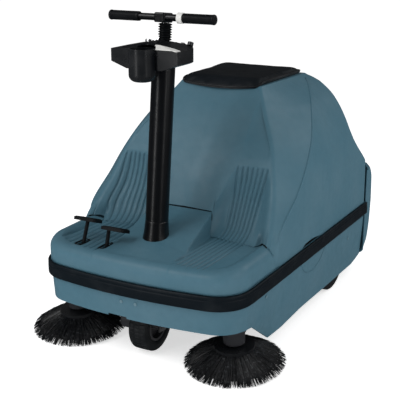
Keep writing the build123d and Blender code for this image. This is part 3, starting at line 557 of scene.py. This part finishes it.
def tidy(piece):
    """Drops unused and doubled points and turns the faces outward."""
    work = bmesh.new()
    work.from_mesh(piece.data)
    bmesh.ops.remove_doubles(work, verts=work.verts, dist=2e-5)
    bmesh.ops.dissolve_degenerate(work, edges=work.edges, dist=1e-6)
    loose = [v for v in work.verts if not v.link_faces]
    bmesh.ops.delete(work, geom=loose, context="VERTS")
    bmesh.ops.recalc_face_normals(work, faces=work.faces)
    work.to_mesh(piece.data)
    work.free()
    piece.data.polygons.foreach_set("use_smooth", [True] * len(piece.data.polygons))
    piece.data.update()
    return piece


hood_skin()


# ---- front deck

BOW_R = ((FRONT_HALF - INSET) ** 2 + BOW ** 2) / (2 * BOW)
TURN = CORNER_R - INSET
TURN_X = FRONT_HALF - INSET - TURN
TURN_Y = INSET + BOW_R - math.sqrt((BOW_R - TURN) ** 2 - TURN_X ** 2)
TURN_FROM = math.asin(TURN_X / (BOW_R - TURN))


def edge_point(angle, inset):
    """A point of the deck's inset front outline; angle 0 is the middle and 90 degrees the side."""
    if angle <= TURN_FROM:
        r = BOW_R - inset
        return r * math.sin(angle), INSET + BOW_R - r * math.cos(angle)
    r = TURN - inset
    return TURN_X + r * math.sin(angle), TURN_Y - r * math.cos(angle)


def edge_distance(x, y):
    x = np.abs(x)
    side = plan_half(y) - x
    front = BOW_R - np.hypot(x, y - INSET - BOW_R)
    round_ = TURN - np.hypot(x - TURN_X, y - TURN_Y)
    return np.where((x > TURN_X) & (y < TURN_Y), round_, np.minimum(side, np.maximum(front, 0)))


def rim_rise(x, y):
    across = smooth(230, 360, np.abs(x))
    return 2.0 + 14 * across * smooth(55, 165, y)


def tunnel_half(y):
    return 152 - 30 * np.clip((y - 60) / 361, 0, 1)


def deck_height(x, y):
    ax = np.abs(x)
    rise = rim_rise(x, y)
    base = FLOOR + rise * smooth(74, 42, edge_distance(x, y))
    half = tunnel_half(y)
    edge_z = 398 + np.maximum(y - 176, 0) * 0.3325
    middle_z = 398 + np.maximum(y - 60, 0) * 0.2225
    share = np.clip(ax / half, 0, 1)
    hump = edge_z + np.maximum(middle_z - edge_z, 0) * (1 - share ** 2) ** 1.2
    hump = np.minimum(hump, 398 + np.maximum(y - 50, 0) * 0.33)
    flank = 8 + 6 * smooth(170, 400, y)
    drop = np.clip((ax - half) / flank, 0, 1)
    tunnel = hump - (hump - base) * (drop * drop * (3 - 2 * drop))
    return np.maximum(base, tunnel)


def deck_seam(x):
    return np.interp(np.abs(x), [0, 121, 125, 130, 136, 140, 330, 345, 356, 371],
                     [421, 421, 412, 402, 395, 393, 394.5, 380.5, 364.5, 346.5])


def deck_skin():
    flat_run = (BOW_R - RIM_R) * math.sin(TURN_FROM)
    half_columns = [(x, math.asin(x / (BOW_R - RIM_R))) for x in np.linspace(0, flat_run, 138)]
    half_columns += [(None, a) for a in np.linspace(TURN_FROM, math.pi / 2, 26)[1:]]
    shares = np.linspace(0, 1, 142) ** 1.12
    right = []
    for x, angle in half_columns:
        px, py = edge_point(angle, RIM_R)
        ys = py + (float(deck_seam(px)) - py) * shares
        xs = px + (REAR_HALF - FRONT_HALF) * np.maximum(ys - TURN_Y, 0) / (SPLIT - BOW) * px / 371
        right.append(np.stack([xs, ys], -1))
    plan = mirrored(np.stack(right, axis=1))
    x, y = plan[..., 0], plan[..., 1]
    points = np.stack([x, y, deck_height(x, y)], -1)
    normal = grid_normals(points)
    normal *= np.sign(normal[..., 2:3])
    for side in (1, -1):
        tread = TREADS[side]
        ax = x * side
        teeth = np.maximum(curve(tread["teeth"])(ax), 51 + BOW * (ax / (FRONT_HALF - INSET)) ** 2)
        along_y = np.clip((y - teeth) / (393 - teeth), 0, 1)
        n = tread["count"]
        (f0, f1), (s0, s1) = tread["front"], tread["seam"]
        lines = [(f0 + (f1 - f0) * k / (n - 1)) * (1 - along_y) + (s0 + (s1 - s0) * k / (n - 1)) * along_y
                 for k in range(n)]
        fade = smooth(-1, 5, y - teeth) * smooth(-4, 8, ax - tunnel_half(y))
        points = points - normal * (relief(ax, lines, 2.8, 5.0) * fade)[..., None]
    rows, columns = points.shape[:2]
    flat = points.reshape(-1, 3)
    faces = grid_faces(rows, columns)
    middles = (flat[[f[0] for f in faces]] + flat[[f[2] for f in faces]]) / 2
    slots = np.zeros(len(faces), bool)
    for slot_x in PEDAL_SLOTS:
        slots |= (np.abs(middles[:, 0] - slot_x) < 12) & (middles[:, 1] > 75) & (middles[:, 1] < 135)
    faces = [f for f, gone in zip(faces, slots) if not gone]
    border = [r * columns for r in range(rows - 1, 0, -1)] + list(range(columns))
    border += [r * columns + columns - 1 for r in range(1, rows)]
    ring = flat[border]
    outward = []
    for p in ring:
        ax, y = abs(p[0]), p[1]
        if y >= TURN_Y - 1e-6 and ax > TURN_X:
            n = (1.0, 0.0)
        elif ax > (BOW_R - RIM_R) * math.sin(TURN_FROM) - 1e-6:
            n = ((ax - TURN_X) / (TURN - RIM_R), (y - TURN_Y) / (TURN - RIM_R))
        else:
            n = (ax / (BOW_R - RIM_R), (y - INSET - BOW_R) / (BOW_R - RIM_R))
        outward.append((math.copysign(n[0], p[0]), n[1], 0.0))
    outward = np.array(outward)
    last = border
    profile = [(RIM_R * math.sin(a), RIM_R * (1 - math.cos(a))) for a in np.linspace(0, math.pi / 2, 12)[1:]]
    top = ring[:, 2]
    floor_z = BAND_TOP + 0.8
    walls = [(RIM_R, None, k / 5) for k in range(1, 6)]
    for out, down, *share in [(o, d) for o, d in profile] + walls:
        if down is None:
            z = (top - RIM_R) * (1 - share[0]) + floor_z * share[0]
        else:
            z = top - down
        lean = seam_d(z) - SEAM - 0.7 - ring[:, 1]
        pull = smooth(300, 346, ring[:, 1]) * lean * min(out / 14, 1)
        new = ring + outward * out
        new[:, 2] = z
        new[:, 1] += pull
        first = len(flat)
        flat = np.concatenate([flat, new])
        for i in range(len(border) - 1):
            a, b = last[i], last[i + 1]
            faces.append((a, b, first + i + 1, first + i))
        last = list(range(first, first + len(border)))
    skin = new_mesh("deck_skin", place(*flat.T), faces, "chassis", blue.material)
    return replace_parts(thicken(tidy(skin), 4), "front_deck")


PEDAL_SLOTS = (-252, -150)               # where the drive and brake levers come through the floor
deck_skin()


# ---- bumper band

BAND_SECTION = [(0.4, 55), (6.5, 55), (8.8, 54), (10.4, 51), (11, 47), (11, 41.5), (10.1, 40.3), (10.1, 39.2),
                (11.2, 38), (11.4, 34), (11.4, 8), (10.8, 4), (9.2, 1.6), (7, 0.6), (4, 0.2), (0.4, 0.2)]


def band_skin():
    """Extruded rubber with a rounded lip and a step under it, wrapped round the front and both sides."""
    path = [(*edge_point(a, 0), math.sin(a), -math.cos(a)) for a in np.linspace(0, math.pi / 2, 90)]
    path += [(float(plan_half(d)), d, 1.0, 0.0) for d in np.linspace(TURN_Y, SPLIT, 60)[1:]]
    path = [(-x, d, -nx, nd) for x, d, nx, nd in reversed(path[1:])] + path
    low = BAND_BOX[0].z / MM
    points = [place(x + nx * out, d + nd * out, low + up)
              for x, d, nx, nd in path for out, up in BAND_SECTION]
    faces = grid_faces(len(path), len(BAND_SECTION), wrap=True)
    faces += [tuple(range(len(BAND_SECTION))), tuple(range(len(points) - len(BAND_SECTION), len(points)))]
    skin = new_mesh("band_skin", points, faces, "chassis", band_rubber.material)
    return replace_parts(tidy(skin), "bumper_band")


# ---- rear section over the hopper

HOPPER_HALF, HOPPER_ROUND = REAR_HALF - INSET + 2, 30


def hopper_profile():
    """Side outline of the rear section from the hood's end over the shoulder to the skirt's foot."""
    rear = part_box("hopper_cover")[1].y / MM - FRONT / MM
    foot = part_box("hopper_cover")[0].z / MM
    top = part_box("hopper_cover")[1].z / MM
    over = curve([(310, rear), (420, rear - 8), (top - 26, 1404), (top, 1356)])
    under = curve([(foot, SPLIT + 3), (122, 1402), (215, rear - 10), (310, rear)])
    upper = [(float(over(z)), z) for z in 310 + (top - 310) * np.sin(np.linspace(0, math.pi / 2, 26))]
    lower = [(float(under(z)), z) for z in np.linspace(foot, 310, 30)]
    return [(SPLIT + 3, top), (1349, top)] + upper[::-1] + lower[::-1][1:]


def hopper_skin():
    outline = np.array(hopper_profile())
    slope = np.gradient(outline, axis=0)
    normal = np.stack([-slope[:, 1], slope[:, 0]], -1)
    normal /= np.linalg.norm(normal, axis=-1, keepdims=True)
    columns = []
    flat = HOPPER_HALF - HOPPER_ROUND
    for x in np.linspace(0, flat, 24):
        columns.append(np.stack([np.full(len(outline), x), outline[:, 0], outline[:, 1]], -1))
    for a in np.linspace(0, math.pi / 2, 9)[1:]:
        inner = outline - normal * HOPPER_ROUND * (1 - math.cos(a))
        x = np.full(len(outline), flat + HOPPER_ROUND * math.sin(a))
        columns.append(np.stack([x, np.maximum(inner[:, 0], SPLIT + 3), inner[:, 1]], -1))
    edge = columns[-1]
    for share in np.linspace(0, 1, 7)[1:]:
        wall = edge.copy()
        wall[:, 1] = edge[:, 1] + (SPLIT + 3 - edge[:, 1]) * share
        columns.append(wall)
    grid = mirrored(np.stack(columns, axis=1))
    points = grid.reshape(-1, 3)
    faces = grid_faces(grid.shape[0], grid.shape[1])
    skin = new_mesh("rear_skin", place(*points.T), faces, "hopper", blue.material)
    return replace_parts(thicken(tidy(skin), 4.5), "hopper_cover")


band_skin()
hopper_skin()


# ---- turned and swept pieces

def turned(name, profile, origin, axis, body, look, steps=72):
    """A turned shape from (radius, place along the axis) points in millimetres."""
    turn = Vector(axis).to_track_quat("Z", "Y").to_matrix()
    points = []
    for radius, height in profile:
        for k in range(steps):
            a = 2 * math.pi * k / steps
            points.append(origin + turn @ Vector((radius * math.cos(a), radius * math.sin(a), height)) * MM)
    faces = grid_faces(len(profile), steps, wrap=True)
    faces += [tuple(range(steps)), tuple(range(len(points) - steps, len(points)))]
    piece = new_mesh(name, points, faces, body, look.material)
    return tidy(piece)


def swept(name, path, radius, body, look, closed=False, sides=10):
    """A round section along a path of (x, distance, z) points in millimetres."""
    path = np.array(path, float)
    if closed:
        tangent = np.roll(path, -1, axis=0) - np.roll(path, 1, axis=0)
    else:
        tangent = np.gradient(path, axis=0)
    tangent /= np.linalg.norm(tangent, axis=-1, keepdims=True)
    side = np.cross(tangent, (0, 0, 1))
    side /= np.maximum(np.linalg.norm(side, axis=-1, keepdims=True), 1e-6)
    up = np.cross(side, tangent)
    points = []
    for k in range(sides):
        a = 2 * math.pi * k / sides
        points.append(path + (side * math.cos(a) + up * math.sin(a)) * radius)
    ring = np.stack(points, axis=1).reshape(-1, 3)
    count = len(path)
    faces = grid_faces(count, sides, wrap=True)
    if closed:
        last = (count - 1) * sides
        faces += [(last + k, last + (k + 1) % sides, (k + 1) % sides, k) for k in range(sides)]
    else:
        faces += [tuple(range(sides)), tuple(range(len(ring) - sides, len(ring)))]
    return tidy(new_mesh(name, place(*ring.T), faces, body, look.material))


LEAN = math.radians(6.2)
COLUMN_AXIS = Vector((0, math.sin(LEAN), math.cos(LEAN)))
COLUMN_FOOT = Vector(place(0, 215, 426))


def collar():
    """Flared foot where the column meets the tunnel."""
    profile = [(51.5, -26), (51.5, -13), (50.5, -9), (48.6, 0), (46.6, 12), (45, 26), (43.7, 42), (42.7, 56),
               (42.2, 60)]
    piece = turned("column_gaiter", profile, COLUMN_FOOT, COLUMN_AXIS, "chassis", gloss_black)
    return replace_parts(piece, "column_collar")


def boot():
    """Seven-fold bellows on the steering stem."""
    steps = 57
    folds = [(22 - 3 * math.cos(2 * math.pi * k / 8), 60 * k / (steps - 1)) for k in range(steps)]
    profile = [(14.3, 0)] + folds + [(14.3, 60)]
    foot = COLUMN_FOOT + COLUMN_AXIS * 706 * MM
    piece = turned("stem_bellows", profile, foot, COLUMN_AXIS, "steering", soft_rubber)
    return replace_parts(piece, "stem_boot")


def grips():
    """Moulded grips with finger rings and a flange at the outer end."""
    low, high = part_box("handlebar_grips")
    y, z = (low.y + high.y) / 2, (low.z + high.z) / 2
    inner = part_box("grip_collar")[1].x / MM + 0.5
    length = high.x / MM - inner
    rings = 20
    profile = [(12.2, 0), (15.6, 0), (16.6, 0.8), (16.9, 4)]
    for k in range(rings):
        start = 8 + (length - 20) * k / rings
        pitch = (length - 20) / rings
        profile += [(17, start), (17, start + pitch * 0.5), (16.5, start + pitch * 0.6),
                    (16.5, start + pitch * 0.8), (17, start + pitch * 0.9)]
    profile += [(17.6, length - 9), (18, length - 6), (16.8, length - 2.5), (14, length - 0.6), (9, length),
                (6, length - 1), (3, length - 1.2)]
    made = []
    for side, name in ((1, "grip_left"), (-1, "grip_right")):
        origin = Vector((side * inner * MM, y, z))
        piece = turned(name, profile, origin, (side, 0, 0), "steering", soft_rubber, 48)
        made.append(piece)
    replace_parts(made[0], "handlebar_grips")


def pedal_dressing():
    """Raised ribs on the pads and a rubber grommet round each lever's slot."""
    tilt = math.radians(20)
    for name, (x, d, z) in (("drive", (-252, 145, 470)), ("brake", (-121, 130, 456))):
        for k in range(6):
            along_pad = -22 + 44 * k / 5
            path = [(x + u, d + along_pad * math.cos(tilt) + 6.4 * math.sin(tilt),
                     z - along_pad * math.sin(tilt) + 6.4 * math.cos(tilt)) for u in np.linspace(-41, 41, 5)]
            rib = swept("%s_pad_rib_%d" % (name, k + 1), path, 2.1, name + "_pedal", soft_rubber, sides=8)
    for name, x in zip(("drive", "brake"), PEDAL_SLOTS):
        path = []
        for k in range(36):
            a = 2 * math.pi * k / 36
            px = x + 14.5 * math.copysign(abs(math.cos(a)) ** 0.5, math.cos(a))
            pd = 105 + 33 * math.copysign(abs(math.sin(a)) ** 0.5, math.sin(a))
            path.append((px, pd, float(deck_height(np.array(px), np.array(pd))) + 0.6))
        swept(name + "_slot_grommet", path, 2.8, "chassis", soft_rubber, closed=True)


def hood_seal():
    """Black seal in the joint between the deck and the hood, from one side of the body to the other."""
    xs = np.concatenate([np.linspace(0, 118, 20), np.linspace(120, 142, 14), np.linspace(148, 330, 24),
                         np.linspace(334, 369, 10)])
    seam = deck_seam(xs)
    half = [(x, d + 2, float(deck_height(np.array(x), np.array(d))) - 0.6) for x, d in zip(xs, seam)]
    half += [(x - 0.8, d - 1.9, z) for x, d, z in along(HOOD_SEAM, np.linspace(0.04, 0.82, 26))]
    path = [(-x, d, z) for x, d, z in half[:0:-1]] + half
    return swept("hood_seal", path, 1.9, "chassis", soft_rubber, sides=8)


def hood_welts():
    """A fine raised line down the rear crease of each side of the hood."""
    heights = np.linspace(HOOD_TOP - 12, LOW + 60, 60)
    sunk = 4 * (1 - smooth(LOW + 60, LOW + 150, heights)) + 1.2
    for side, name in ((1, "left"), (-1, "right")):
        path = [(side * (float(side_x(crease_y(z), z)) - depth), float(crease_y(z)), z)
                for z, depth in zip(heights, sunk)]
        swept("hood_welt_" + name, path, 3.4, "hood", blue)


def skirt_side(d, z):
    """Half width of the skirt's outer face."""
    return plan_half(d) + INSET - (INSET + 17 * (BAND_TOP - z) / (BAND_TOP - 40))


def cover_beads():
    """The raised joint of the round service cover low on each side of the skirt."""
    for side, name in ((1, "left"), (-1, "right")):
        path = []
        for a in np.linspace(math.radians(210), math.radians(330), 60):
            d, z = 740 + 148 * math.cos(a), 335 + 148 * math.sin(a)
            path.append((side * (skirt_side(d, z) + 0.2), d, z))
        swept("cover_bead_" + name, path, 1.7, "chassis", skirt_blue, sides=8)


def treaded_tyre(name, node, body, width, radius, bead, lugs):
    """A solid rubber tyre with a grooved tread, round shoulders and a ringed side wall."""
    low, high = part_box(node)
    centre = (low + high) / 2
    half, around = width / 2, lugs * 8
    rise = radius - bead
    wall = [(bead, 0.86), (bead + 3, 0.95), (bead + rise * 0.3, 0.985), (bead + rise * 0.42, 1.0),
            (bead + rise * 0.48, 0.965), (radius * 0.93, 0.96), (radius * 0.965, 0.9), (radius * 0.985, 0.83)]
    tread = [(radius * (1 - 0.012 * abs(u) ** 2.5), u) for u in np.linspace(0.76, -0.76, 23)]
    section = wall + tread + [(r, -u) for r, u in reversed(wall)]
    points = []
    for r, u in section:
        for k in range(around):
            phase = (k / 8 + 0.5 * abs(u)) % 1
            depth = 0
            if abs(u) < 0.8:
                depth = 3.4 if phase < 0.24 else 0
                depth = max(depth, 3.4 if abs(abs(u) - 0.28) < 0.05 else 0)
            a = 2 * math.pi * k / around
            points.append((centre.x + u * half * MM, centre.y + (r - depth) * MM * math.cos(a),
                           centre.z + (r - depth) * MM * math.sin(a)))
    faces = grid_faces(len(section), around, wrap=True)
    last = (len(section) - 1) * around
    faces += [(last + k, last + (k + 1) % around, (k + 1) % around, k) for k in range(around)]
    piece = tidy(new_mesh(name, points, faces, body, tyre.material))
    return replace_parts(piece, node)


collar()
boot()
grips()
pedal_dressing()
hood_seal()
hood_welts()
cover_beads()
treaded_tyre("front_tread", "front_tyre", "front_wheel", 76, 100, 62, 40)
treaded_tyre("rear_tread_left", "rear_tyre_left", "rear_wheel_left", 68, 155, 96, 56)
treaded_tyre("rear_tread_right", "rear_tyre_right", "rear_wheel_right", 68, 155, 96, 56)


# ---- seat

PAD_FRONT, PAD_REAR = [(end.y - FRONT) / MM for end in SEAT_BOX]
PAD_LOW, PAD_TOP = [end.z / MM for end in SEAT_BOX]


def droop(d):
    """How far the seat's front lip hangs down, millimetres."""
    return 27 * (1 - smooth(PAD_FRONT - 10, PAD_FRONT + 50, d))


def lip(d):
    """How much further the lower edge of that lip reaches."""
    return 13 * (1 - smooth(PAD_FRONT - 10, PAD_FRONT + 26, d))


def seat_path(inset, z, lowered=0, steps=34):
    """The pad's outline as (x, distance, z): bowed front, round corners."""
    front, rear, r = PAD_FRONT + inset, PAD_REAR - inset, 24

    def half(d):
        return 178 + 12 * (d - PAD_FRONT) / (PAD_REAR - PAD_FRONT) - inset

    corners = [(half(rear) - r, rear - r, 0, 90), (-half(rear) + r, rear - r, 90, 180),
               (-half(front) + r, front + 14 + r, 180, 262), (half(front) - r, front + 14 + r, 278, 360)]
    path = []
    for index, (cx, cd, a0, a1) in enumerate(corners):
        path += [(cx + r * math.cos(math.radians(a)), cd + r * math.sin(math.radians(a)))
                 for a in np.linspace(a0, a1, 9)]
        nx, nd, b0 = corners[(index + 1) % 4][:3]
        end = (nx + r * math.cos(math.radians(b0)), nd + r * math.sin(math.radians(b0)))
        start = path[-1]
        for t in np.linspace(0, 1, steps)[1:-1]:
            bow = -9 * 4 * t * (1 - t) * (1 if index == 2 else 0)
            path.append((start[0] + (end[0] - start[0]) * t, start[1] + (end[1] - start[1]) * t + bow))
    return [(x, d - 31 * (1 - float(smooth(PAD_FRONT, PAD_FRONT + 80, d))),
             z - float(droop(d) + lowered * lip(d))) for x, d in path]


def stuffed_seat():
    """The cushion: the pad's solid, blown up as cloth, flat below and drooping over the hood's front edge."""
    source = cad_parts["seat_pad"]
    mesh = source.data.copy()
    mesh.transform(source.matrix_world)
    middle = Vector(((SEAT_BOX[0].x + SEAT_BOX[1].x) / 2, (SEAT_BOX[0].y + SEAT_BOX[1].y) / 2, 0))
    for v in mesh.vertices:
        v.co.x = middle.x + (v.co.x - middle.x) * 0.982
        v.co.y = middle.y + (v.co.y - middle.y) * 0.982
    pad = bpy.data.objects.new("seat_cushion", mesh)
    bpy.context.scene.collection.objects.link(pad)
    bpy.context.view_layer.objects.active = pad
    even = pad.modifiers.new("even_mesh", "REMESH")
    even.mode, even.voxel_size = "VOXEL", 0.005
    bpy.ops.object.modifier_apply(modifier=even.name)
    rest = np.array([v.co[:] for v in pad.data.vertices])
    moved = rest.copy()
    cloth = pad.modifiers.new("stuffing", "CLOTH")
    cloth.settings.use_pressure = True
    cloth.settings.uniform_pressure_force = 4
    cloth.settings.effector_weights.gravity = 0
    for frame_number in range(1, 21):
        bpy.context.scene.frame_set(frame_number)
    puffed = pad.evaluated_get(bpy.context.evaluated_depsgraph_get()).to_mesh()
    moved = np.array([v.co[:] for v in puffed.vertices])
    pad.modifiers.remove(cloth)
    bpy.context.scene.frame_set(1)
    step = moved - rest
    far = np.linalg.norm(step, axis=1, keepdims=True)
    step *= np.minimum(1, 9 * MM / np.maximum(far, 1e-9))
    moved = rest + step
    d = (moved[:, 1] - FRONT) / MM
    edge = np.minimum(190 - np.abs(moved[:, 0]) / MM, np.minimum(d - PAD_FRONT, PAD_REAR - d))
    moved[:, 2] = np.maximum(moved[:, 2], (PAD_LOW + 0.3) * MM)
    upper = np.clip((moved[:, 2] / MM - PAD_LOW) / (PAD_TOP - PAD_LOW), 0, 1)
    moved[:, 2] -= upper * 5.0 * MM * (1 - 0.6 * smooth(4, 90, edge))
    moved[:, 2] -= (droop(d) + (1 - upper) * lip(d)) * MM
    moved[:, 1] -= 31 * MM * (1 - smooth(PAD_FRONT, PAD_FRONT + 80, d))
    pad.data.vertices.foreach_set("co", moved.ravel())
    pad.data.materials.clear()
    pad.data.materials.append(vinyl.material)
    pad.data.polygons.foreach_set("use_smooth", [True] * len(pad.data.polygons))
    smoothing = pad.modifiers.new("finer", "SUBSURF")
    smoothing.levels = smoothing.render_levels = 1
    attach(pad, "hood")
    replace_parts(pad, "seat_pad")
    for name, inset, z, lowered in (("seat_piping_top", 4, PAD_TOP - 8.5, 0),
                                    ("seat_piping_foot", 5, PAD_LOW + 4.5, 0.5)):
        swept(name, seat_path(inset, z, lowered), 2.6, "hood", piping, closed=True)


stuffed_seat()


# ---- bristles

def strands(name, roots, tips, sag, radius, body, look, rings=4, sides=3):
    """Tapered bristles in one mesh, each from a root to a tip, with a sag vector at its middle."""
    roots, tips, sag = (np.asarray(a, float) for a in (roots, tips, sag))
    count = len(roots)
    along_strand = tips - roots
    along_strand /= np.linalg.norm(along_strand, axis=1, keepdims=True)
    side = np.cross(along_strand, (0.31, 0.17, 0.93))
    side /= np.linalg.norm(side, axis=1, keepdims=True)
    up = np.cross(side, along_strand)
    rows = []
    for t in np.linspace(0, 1, rings):
        centre = roots + (tips - roots) * t + sag * (4 * t * (1 - t))
        for k in range(sides):
            a = 2 * math.pi * k / sides
            rows.append(centre + (side * math.cos(a) + up * math.sin(a)) * radius * (1 - 0.45 * t))
    points = np.stack(rows, axis=1).reshape(-1, 3)
    faces = []
    for n in range(count):
        first = n * rings * sides
        faces += grid_faces(rings, sides, first, wrap=True)
        faces.append(tuple(range(first + (rings - 1) * sides, first + rings * sides)))
    points[:, 2] = np.maximum(points[:, 2], 0.6)
    piece = new_mesh(name, place(*points.T), faces, body, look.material)
    return piece


BROOM_TILT = math.radians(4.8)


def side_broom(side, name):
    """Tufts set in three rings under the disc, splayed out to the floor."""
    chance = random.Random(11 + side)
    roots, tips, sag = [], [], []
    for ring, (root_r, tip_r, tufts) in enumerate(((56, 160, 24), (64, 171, 28), (71, 182, 34))):
        for tuft in range(tufts):
            middle_angle = 2 * math.pi * (tuft + 0.33 * ring) / tufts + chance.gauss(0, 0.02)
            for _ in range(24):
                spread = chance.gauss(0, 1)
                a = middle_angle + 0.03 * spread
                b = middle_angle + 0.062 * spread + chance.gauss(0, 0.012)
                r0 = root_r + chance.gauss(0, 1.4)
                r1 = min(tip_r + chance.gauss(0, 2.2), 186)
                low = -68.8 + chance.uniform(0, 2.5)
                roots.append((r0 * math.cos(a), r0 * math.sin(a), -9.5))
                tips.append((r1 * math.cos(b), r1 * math.sin(b), low))
                bulge = chance.uniform(1.5, 4)
                sag.append((bulge * math.cos(b), bulge * math.sin(b), bulge))
    c, s = math.cos(BROOM_TILT), math.sin(BROOM_TILT)
    turn = np.array([(1, 0, 0), (0, c, -s), (0, s, c)])
    hub_at = np.array([side * 338, 184, 84])
    roots, tips = (np.array(a) @ turn.T + hub_at for a in (roots, tips))
    tips[:, 2] = np.maximum(tips[:, 2], 1.2)
    body = "side_broom_" + name
    piece = strands("side_broom_strands_" + name, roots, tips, np.array(sag) @ turn.T, 1.4, body, bristle)
    felt = [(48, -9), (68, -10), (96, -26), (122, -42), (146, -57), (150, -61), (140, -60), (110, -48),
            (70, -30), (48, -24)]
    packed = turned("side_broom_roots_" + name, felt, Vector(place(*hub_at)), turn[:, 2], body, bristle)
    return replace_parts(piece, "side_broom_bristles_" + name)


def main_broom():
    """Eight rows of bristles that sweep towards the middle in a shallow V."""
    chance = random.Random(5)
    half = 284
    roots, tips = [], []
    for row in range(8):
        for x in np.arange(-half + 3, half - 2, 4.2):
            base = math.radians(45 * row) + math.radians(16) * abs(x) / half
            for _ in range(2):
                a, b = base + chance.gauss(0, 0.05), base + chance.gauss(0, 0.07)
                px, r1 = x + chance.gauss(0, 1.6), 136.5 - chance.uniform(0, 3)
                roots.append((px, 850 + 51 * math.sin(a), 139 + 51 * math.cos(a)))
                tips.append((px + chance.gauss(0, 2.5), 850 + r1 * math.sin(b), 139 + r1 * math.cos(b)))
    straight = np.zeros((len(roots), 3))
    piece = strands("main_broom_strands", roots, tips, straight, 1.0, "main_broom", bristle, rings=3)
    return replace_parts(piece, "main_broom_bristles")


side_broom(1, "left")
side_broom(-1, "right")
main_broom()


# ---- softened edges on the CAD pieces

SOFT_EDGES = {                           # millimetres: nodes
    4: "console_housing",
    2.5: "cup_holder side_broom_disc_left side_broom_disc_right rear_hub_left rear_hub_right",
    1.5: "side_broom_drive_left side_broom_drive_right horn_button hopper_bin main_frame traction_motor "
         "control_box batteries",
    1: "direction_rocker broom_rocker pedal_bracket seat_board hood_hand_grips",
    0.8: "ignition_key handlebar gauge_and_key_barrel",
    1.6: "lower_skirt",
    2: "drive_pedal brake_pedal front_hub",
    1.2: "hopper_handle broom_housing grip_collar fan_housing steering_fork",
    0.6: "skirt_screws",
}
for width, names in SOFT_EDGES.items():
    for name in names.split():
        bevel(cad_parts[name], width, 3 if width > 2 else 2)


# ---- camera, light and floor

scene = bpy.context.scene
camera = bpy.data.objects.new("camera", bpy.data.cameras.new("camera"))
scene.collection.objects.link(camera)
azimuth, elevation = math.radians(28.47), math.radians(16.90)
camera.location = (1.6182, FRONT - 2.4331, 1.5055)
toward = Vector((-math.sin(azimuth) * math.cos(elevation), math.cos(azimuth) * math.cos(elevation),
                 -math.sin(elevation)))
camera.rotation_euler = toward.to_track_quat("-Z", "Y").to_euler()
camera.data.lens, camera.data.sensor_width = 80.6, 36
scene.camera = camera

middle = Vector((0, 0, 0.45))


def softbox(name, position, size, power):
    lamp = bpy.data.lights.new(name, "AREA")
    lamp.shape, lamp.size, lamp.size_y, lamp.energy = "RECTANGLE", size[0], size[1], power
    fitting = bpy.data.objects.new(name, lamp)
    fitting.location = position
    fitting.rotation_euler = (middle - fitting.location).to_track_quat("-Z", "Y").to_euler()
    fitting.visible_camera = False
    scene.collection.objects.link(fitting)


softbox("key_light", (-1.6, -3.0, 3.4), (2.2, 2.2), 66)
softbox("side_light", (3.6, -0.4, 2.2), (1.8, 2.6), 27)
softbox("rear_light", (2.6, 2.9, 3.2), (2.2, 2.0), 30)
softbox("column_strip", (-0.85, -2.95, 0.75), (0.22, 1.3), 7)
softbox("column_strip_right", (3.2, -2.0, 0.75), (0.22, 1.3), 4)

world = bpy.data.worlds.new("studio")
scene.world = world
world.use_nodes = True
sky, wires = world.node_tree.nodes, world.node_tree.links
rays = sky.new("ShaderNodeLightPath")
ambient = sky.new("ShaderNodeMapRange")              # dim room in reflections, soft fill on matt surfaces
ambient.inputs["To Min"].default_value = 0.5
ambient.inputs["To Max"].default_value = 0.07
wires.new(rays.outputs["Is Glossy Ray"], ambient.inputs["Value"])
backdrop = sky.new("ShaderNodeMix")
wires.new(rays.outputs["Is Camera Ray"], backdrop.inputs["Factor"])
wires.new(ambient.outputs["Result"], backdrop.inputs["A"])
backdrop.inputs["B"].default_value = 1.0
wires.new(backdrop.outputs["Result"], sky["Background"].inputs["Strength"])
sky["Background"].inputs["Color"].default_value = (1, 1, 1, 1)

floor_mesh = bpy.data.meshes.new("floor")
floor_mesh.from_pydata([(-30, -30, 0), (30, -30, 0), (30, 30, 0), (-30, 30, 0)], [], [(0, 1, 2, 3)])
floor = bpy.data.objects.new("floor", floor_mesh)
scene.collection.objects.link(floor)
paving = Look("floor_paint", (0.9, 0.9, 0.9), 0.75)
paving.tint(paving.ramp(paving.noise(3, 4), 0.4, 0.7, 0, 0.3), (0.93, 0.93, 0.93))
paving.shader.inputs["Emission Color"].default_value = (1, 1, 1, 1)
paving.shader.inputs["Emission Strength"].default_value = 0.62
floor_mesh.materials.append(paving.material)
floor.visible_glossy = False             # glossy paint reflects the softboxes, not the white floor
scene.view_settings.view_transform = "Standard"
